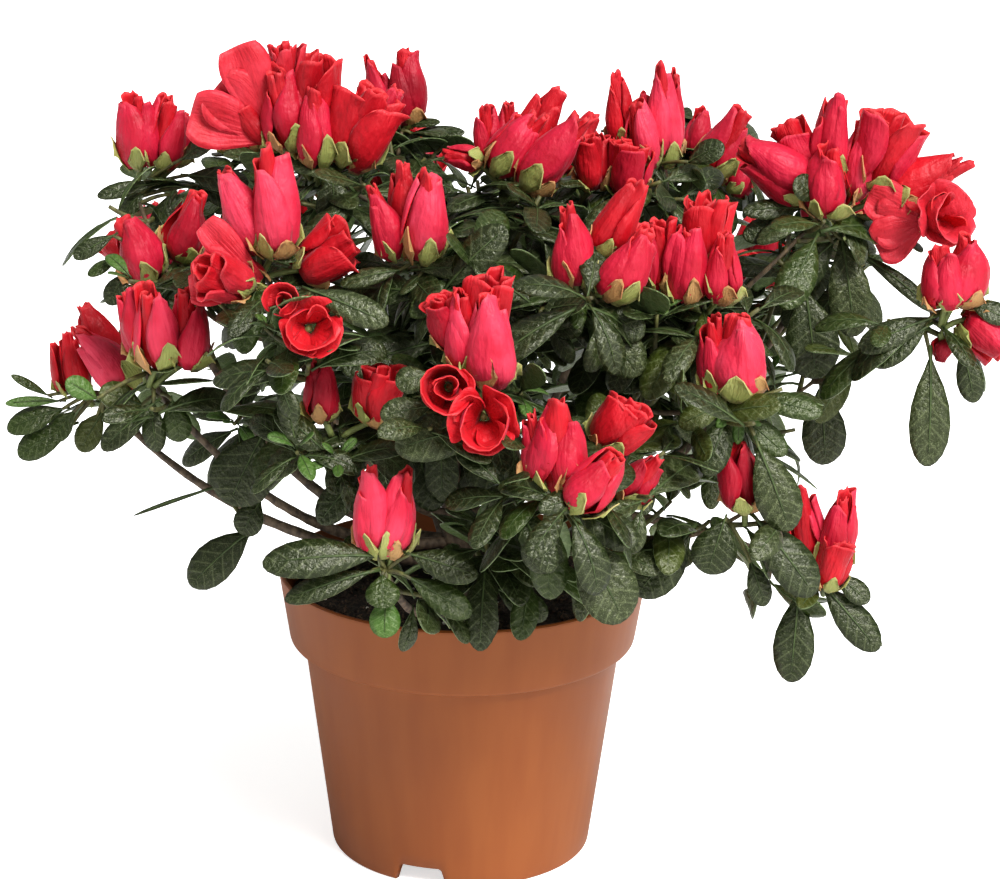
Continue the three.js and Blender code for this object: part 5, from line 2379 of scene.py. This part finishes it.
@dataclass
class Studio:
    """The pale floor, the soft lights and the camera."""

    floor_half: float = 40.0
    look_down: float = 0.3035
    roll: float = 0.013
    lens: float = 107.9
    sensor: float = 36.0
    sky: float = 0.42
    key: float = 3.5
    key_spread: float = 24.0
    key_from: tuple = (0.60, -0.80, 1.15)
    fill: float = 3.0
    fill_place: tuple = (1.0, -0.9, 0.55)
    fill_size: float = 0.8
    crown_middle: tuple = (0.0, 0.0, 0.17)

    def build(self) -> None:
        """Sets up everything that isn't part of the plant."""
        self.floor()
        self.lights()
        self.camera()

    def floor(self) -> None:
        """Lays the floor under the pot."""
        half = self.floor_half
        mesh = bpy.data.meshes.new("studio_floor")
        corners = [(-half, -half, 0), (half, -half, 0), (half, half, 0), (-half, half, 0)]
        mesh.from_pydata(corners, [], [(0, 1, 2, 3)])
        mesh.materials.append(PaperFinish().material())
        made = bpy.data.objects.new("studio_floor", mesh)
        bpy.context.scene.collection.objects.link(made)

    def lamp(self, name: str, place: tuple, size: float, power: float) -> None:
        """Hangs one square soft light that faces the crown.

        Args:
            name: Its name.
            place: Where it hangs, in metres.
            size: Its edge, in metres.
            power: Its power, in watts.
        """
        light = bpy.data.lights.new(name, "AREA")
        light.shape, light.size, light.energy = "SQUARE", size, power
        made = bpy.data.objects.new(name, light)
        made.location = place
        facing = Vector(self.crown_middle) - made.location
        made.rotation_euler = facing.to_track_quat("-Z", "Y").to_euler()
        bpy.context.scene.collection.objects.link(made)

    def lights(self) -> None:
        """Sets an even white sky, a large key light above the front, and a fill at the right."""
        world = bpy.data.worlds.new("even_sky")
        world.use_nodes = True
        sky = world.node_tree.nodes["Background"]
        sky.inputs["Color"].default_value = (1.0, 1.0, 1.0, 1.0)
        sky.inputs["Strength"].default_value = self.sky
        bpy.context.scene.world = world
        sun = bpy.data.lights.new("key_light", "SUN")
        sun.energy, sun.angle = self.key, math.radians(self.key_spread)
        made = bpy.data.objects.new("key_light", sun)
        made.rotation_euler = Vector(self.key_from).to_track_quat("Z", "Y").to_euler()
        bpy.context.scene.collection.objects.link(made)
        self.lamp("fill_light", self.fill_place, self.fill_size, self.fill)
        bpy.context.scene.view_settings.view_transform = "Standard"
        bpy.context.scene.view_settings.look = "Medium High Contrast"

    def camera(self) -> None:
        """Places the camera, turned down and rolled a little."""
        ahead = np.array([0.0, math.cos(self.look_down), -math.sin(self.look_down)])
        right = np.array([1.0, 0.0, 0.0])
        above = np.cross(right, ahead)
        cos, sin = math.cos(self.roll), math.sin(self.roll)
        side, top = right * cos + above * sin, above * cos - right * sin
        lens = bpy.data.cameras.new("camera")
        lens.lens, lens.sensor_width = self.lens, self.sensor
        made = bpy.data.objects.new("camera", lens)
        turn = Matrix(np.stack([side, top, -ahead], axis=1).tolist()).to_4x4()
        made.matrix_world = Matrix.Translation(CAMERA_PLACE) @ turn
        bpy.context.scene.collection.objects.link(made)
        bpy.context.scene.camera = made


def main() -> None:
    """Builds the stage, the pot, the limbs and the crown, and reports each piece."""
    logging.basicConfig(level=logging.INFO, format="%(message)s")
    Studio().build()
    Pot().build()
    Soil().build()
    names = [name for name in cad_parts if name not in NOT_MASSES]
    masses = {name: Mass(name, SHIFTS.get(name, (0.0, 0.0, 0.0))) for name in sorted(names)}
    limbs = Limbs(masses)
    limbs.build()
    leaves = Leaves()
    petals = Petals()
    shoot = StemFinish("green_shoot", (0.150, 0.150, 0.050), (0.075, 0.070, 0.030), 0.55)
    stalk = StemFinish("flower_stalk", (0.24, 0.29, 0.10), (0.15, 0.18, 0.06), 0.5)
    shoots = Piece("green_shoots", "bark", [shoot])
    stalks = Piece("flower_stalks", "foliage", [stalk])
    florist = Florist(petals, stalks, np.random.default_rng(0))
    crown = Crown(limbs, leaves, florist, shoots)
    for index, mass in enumerate(masses.values()):
        crown.grow(mass, index)
    growth = [*leaves.build(), *petals.build(), shoots, stalks]
    growth[0].replaces = list(masses)
    for piece in growth:
        piece.write()


if __name__ == "__main__":
    main()
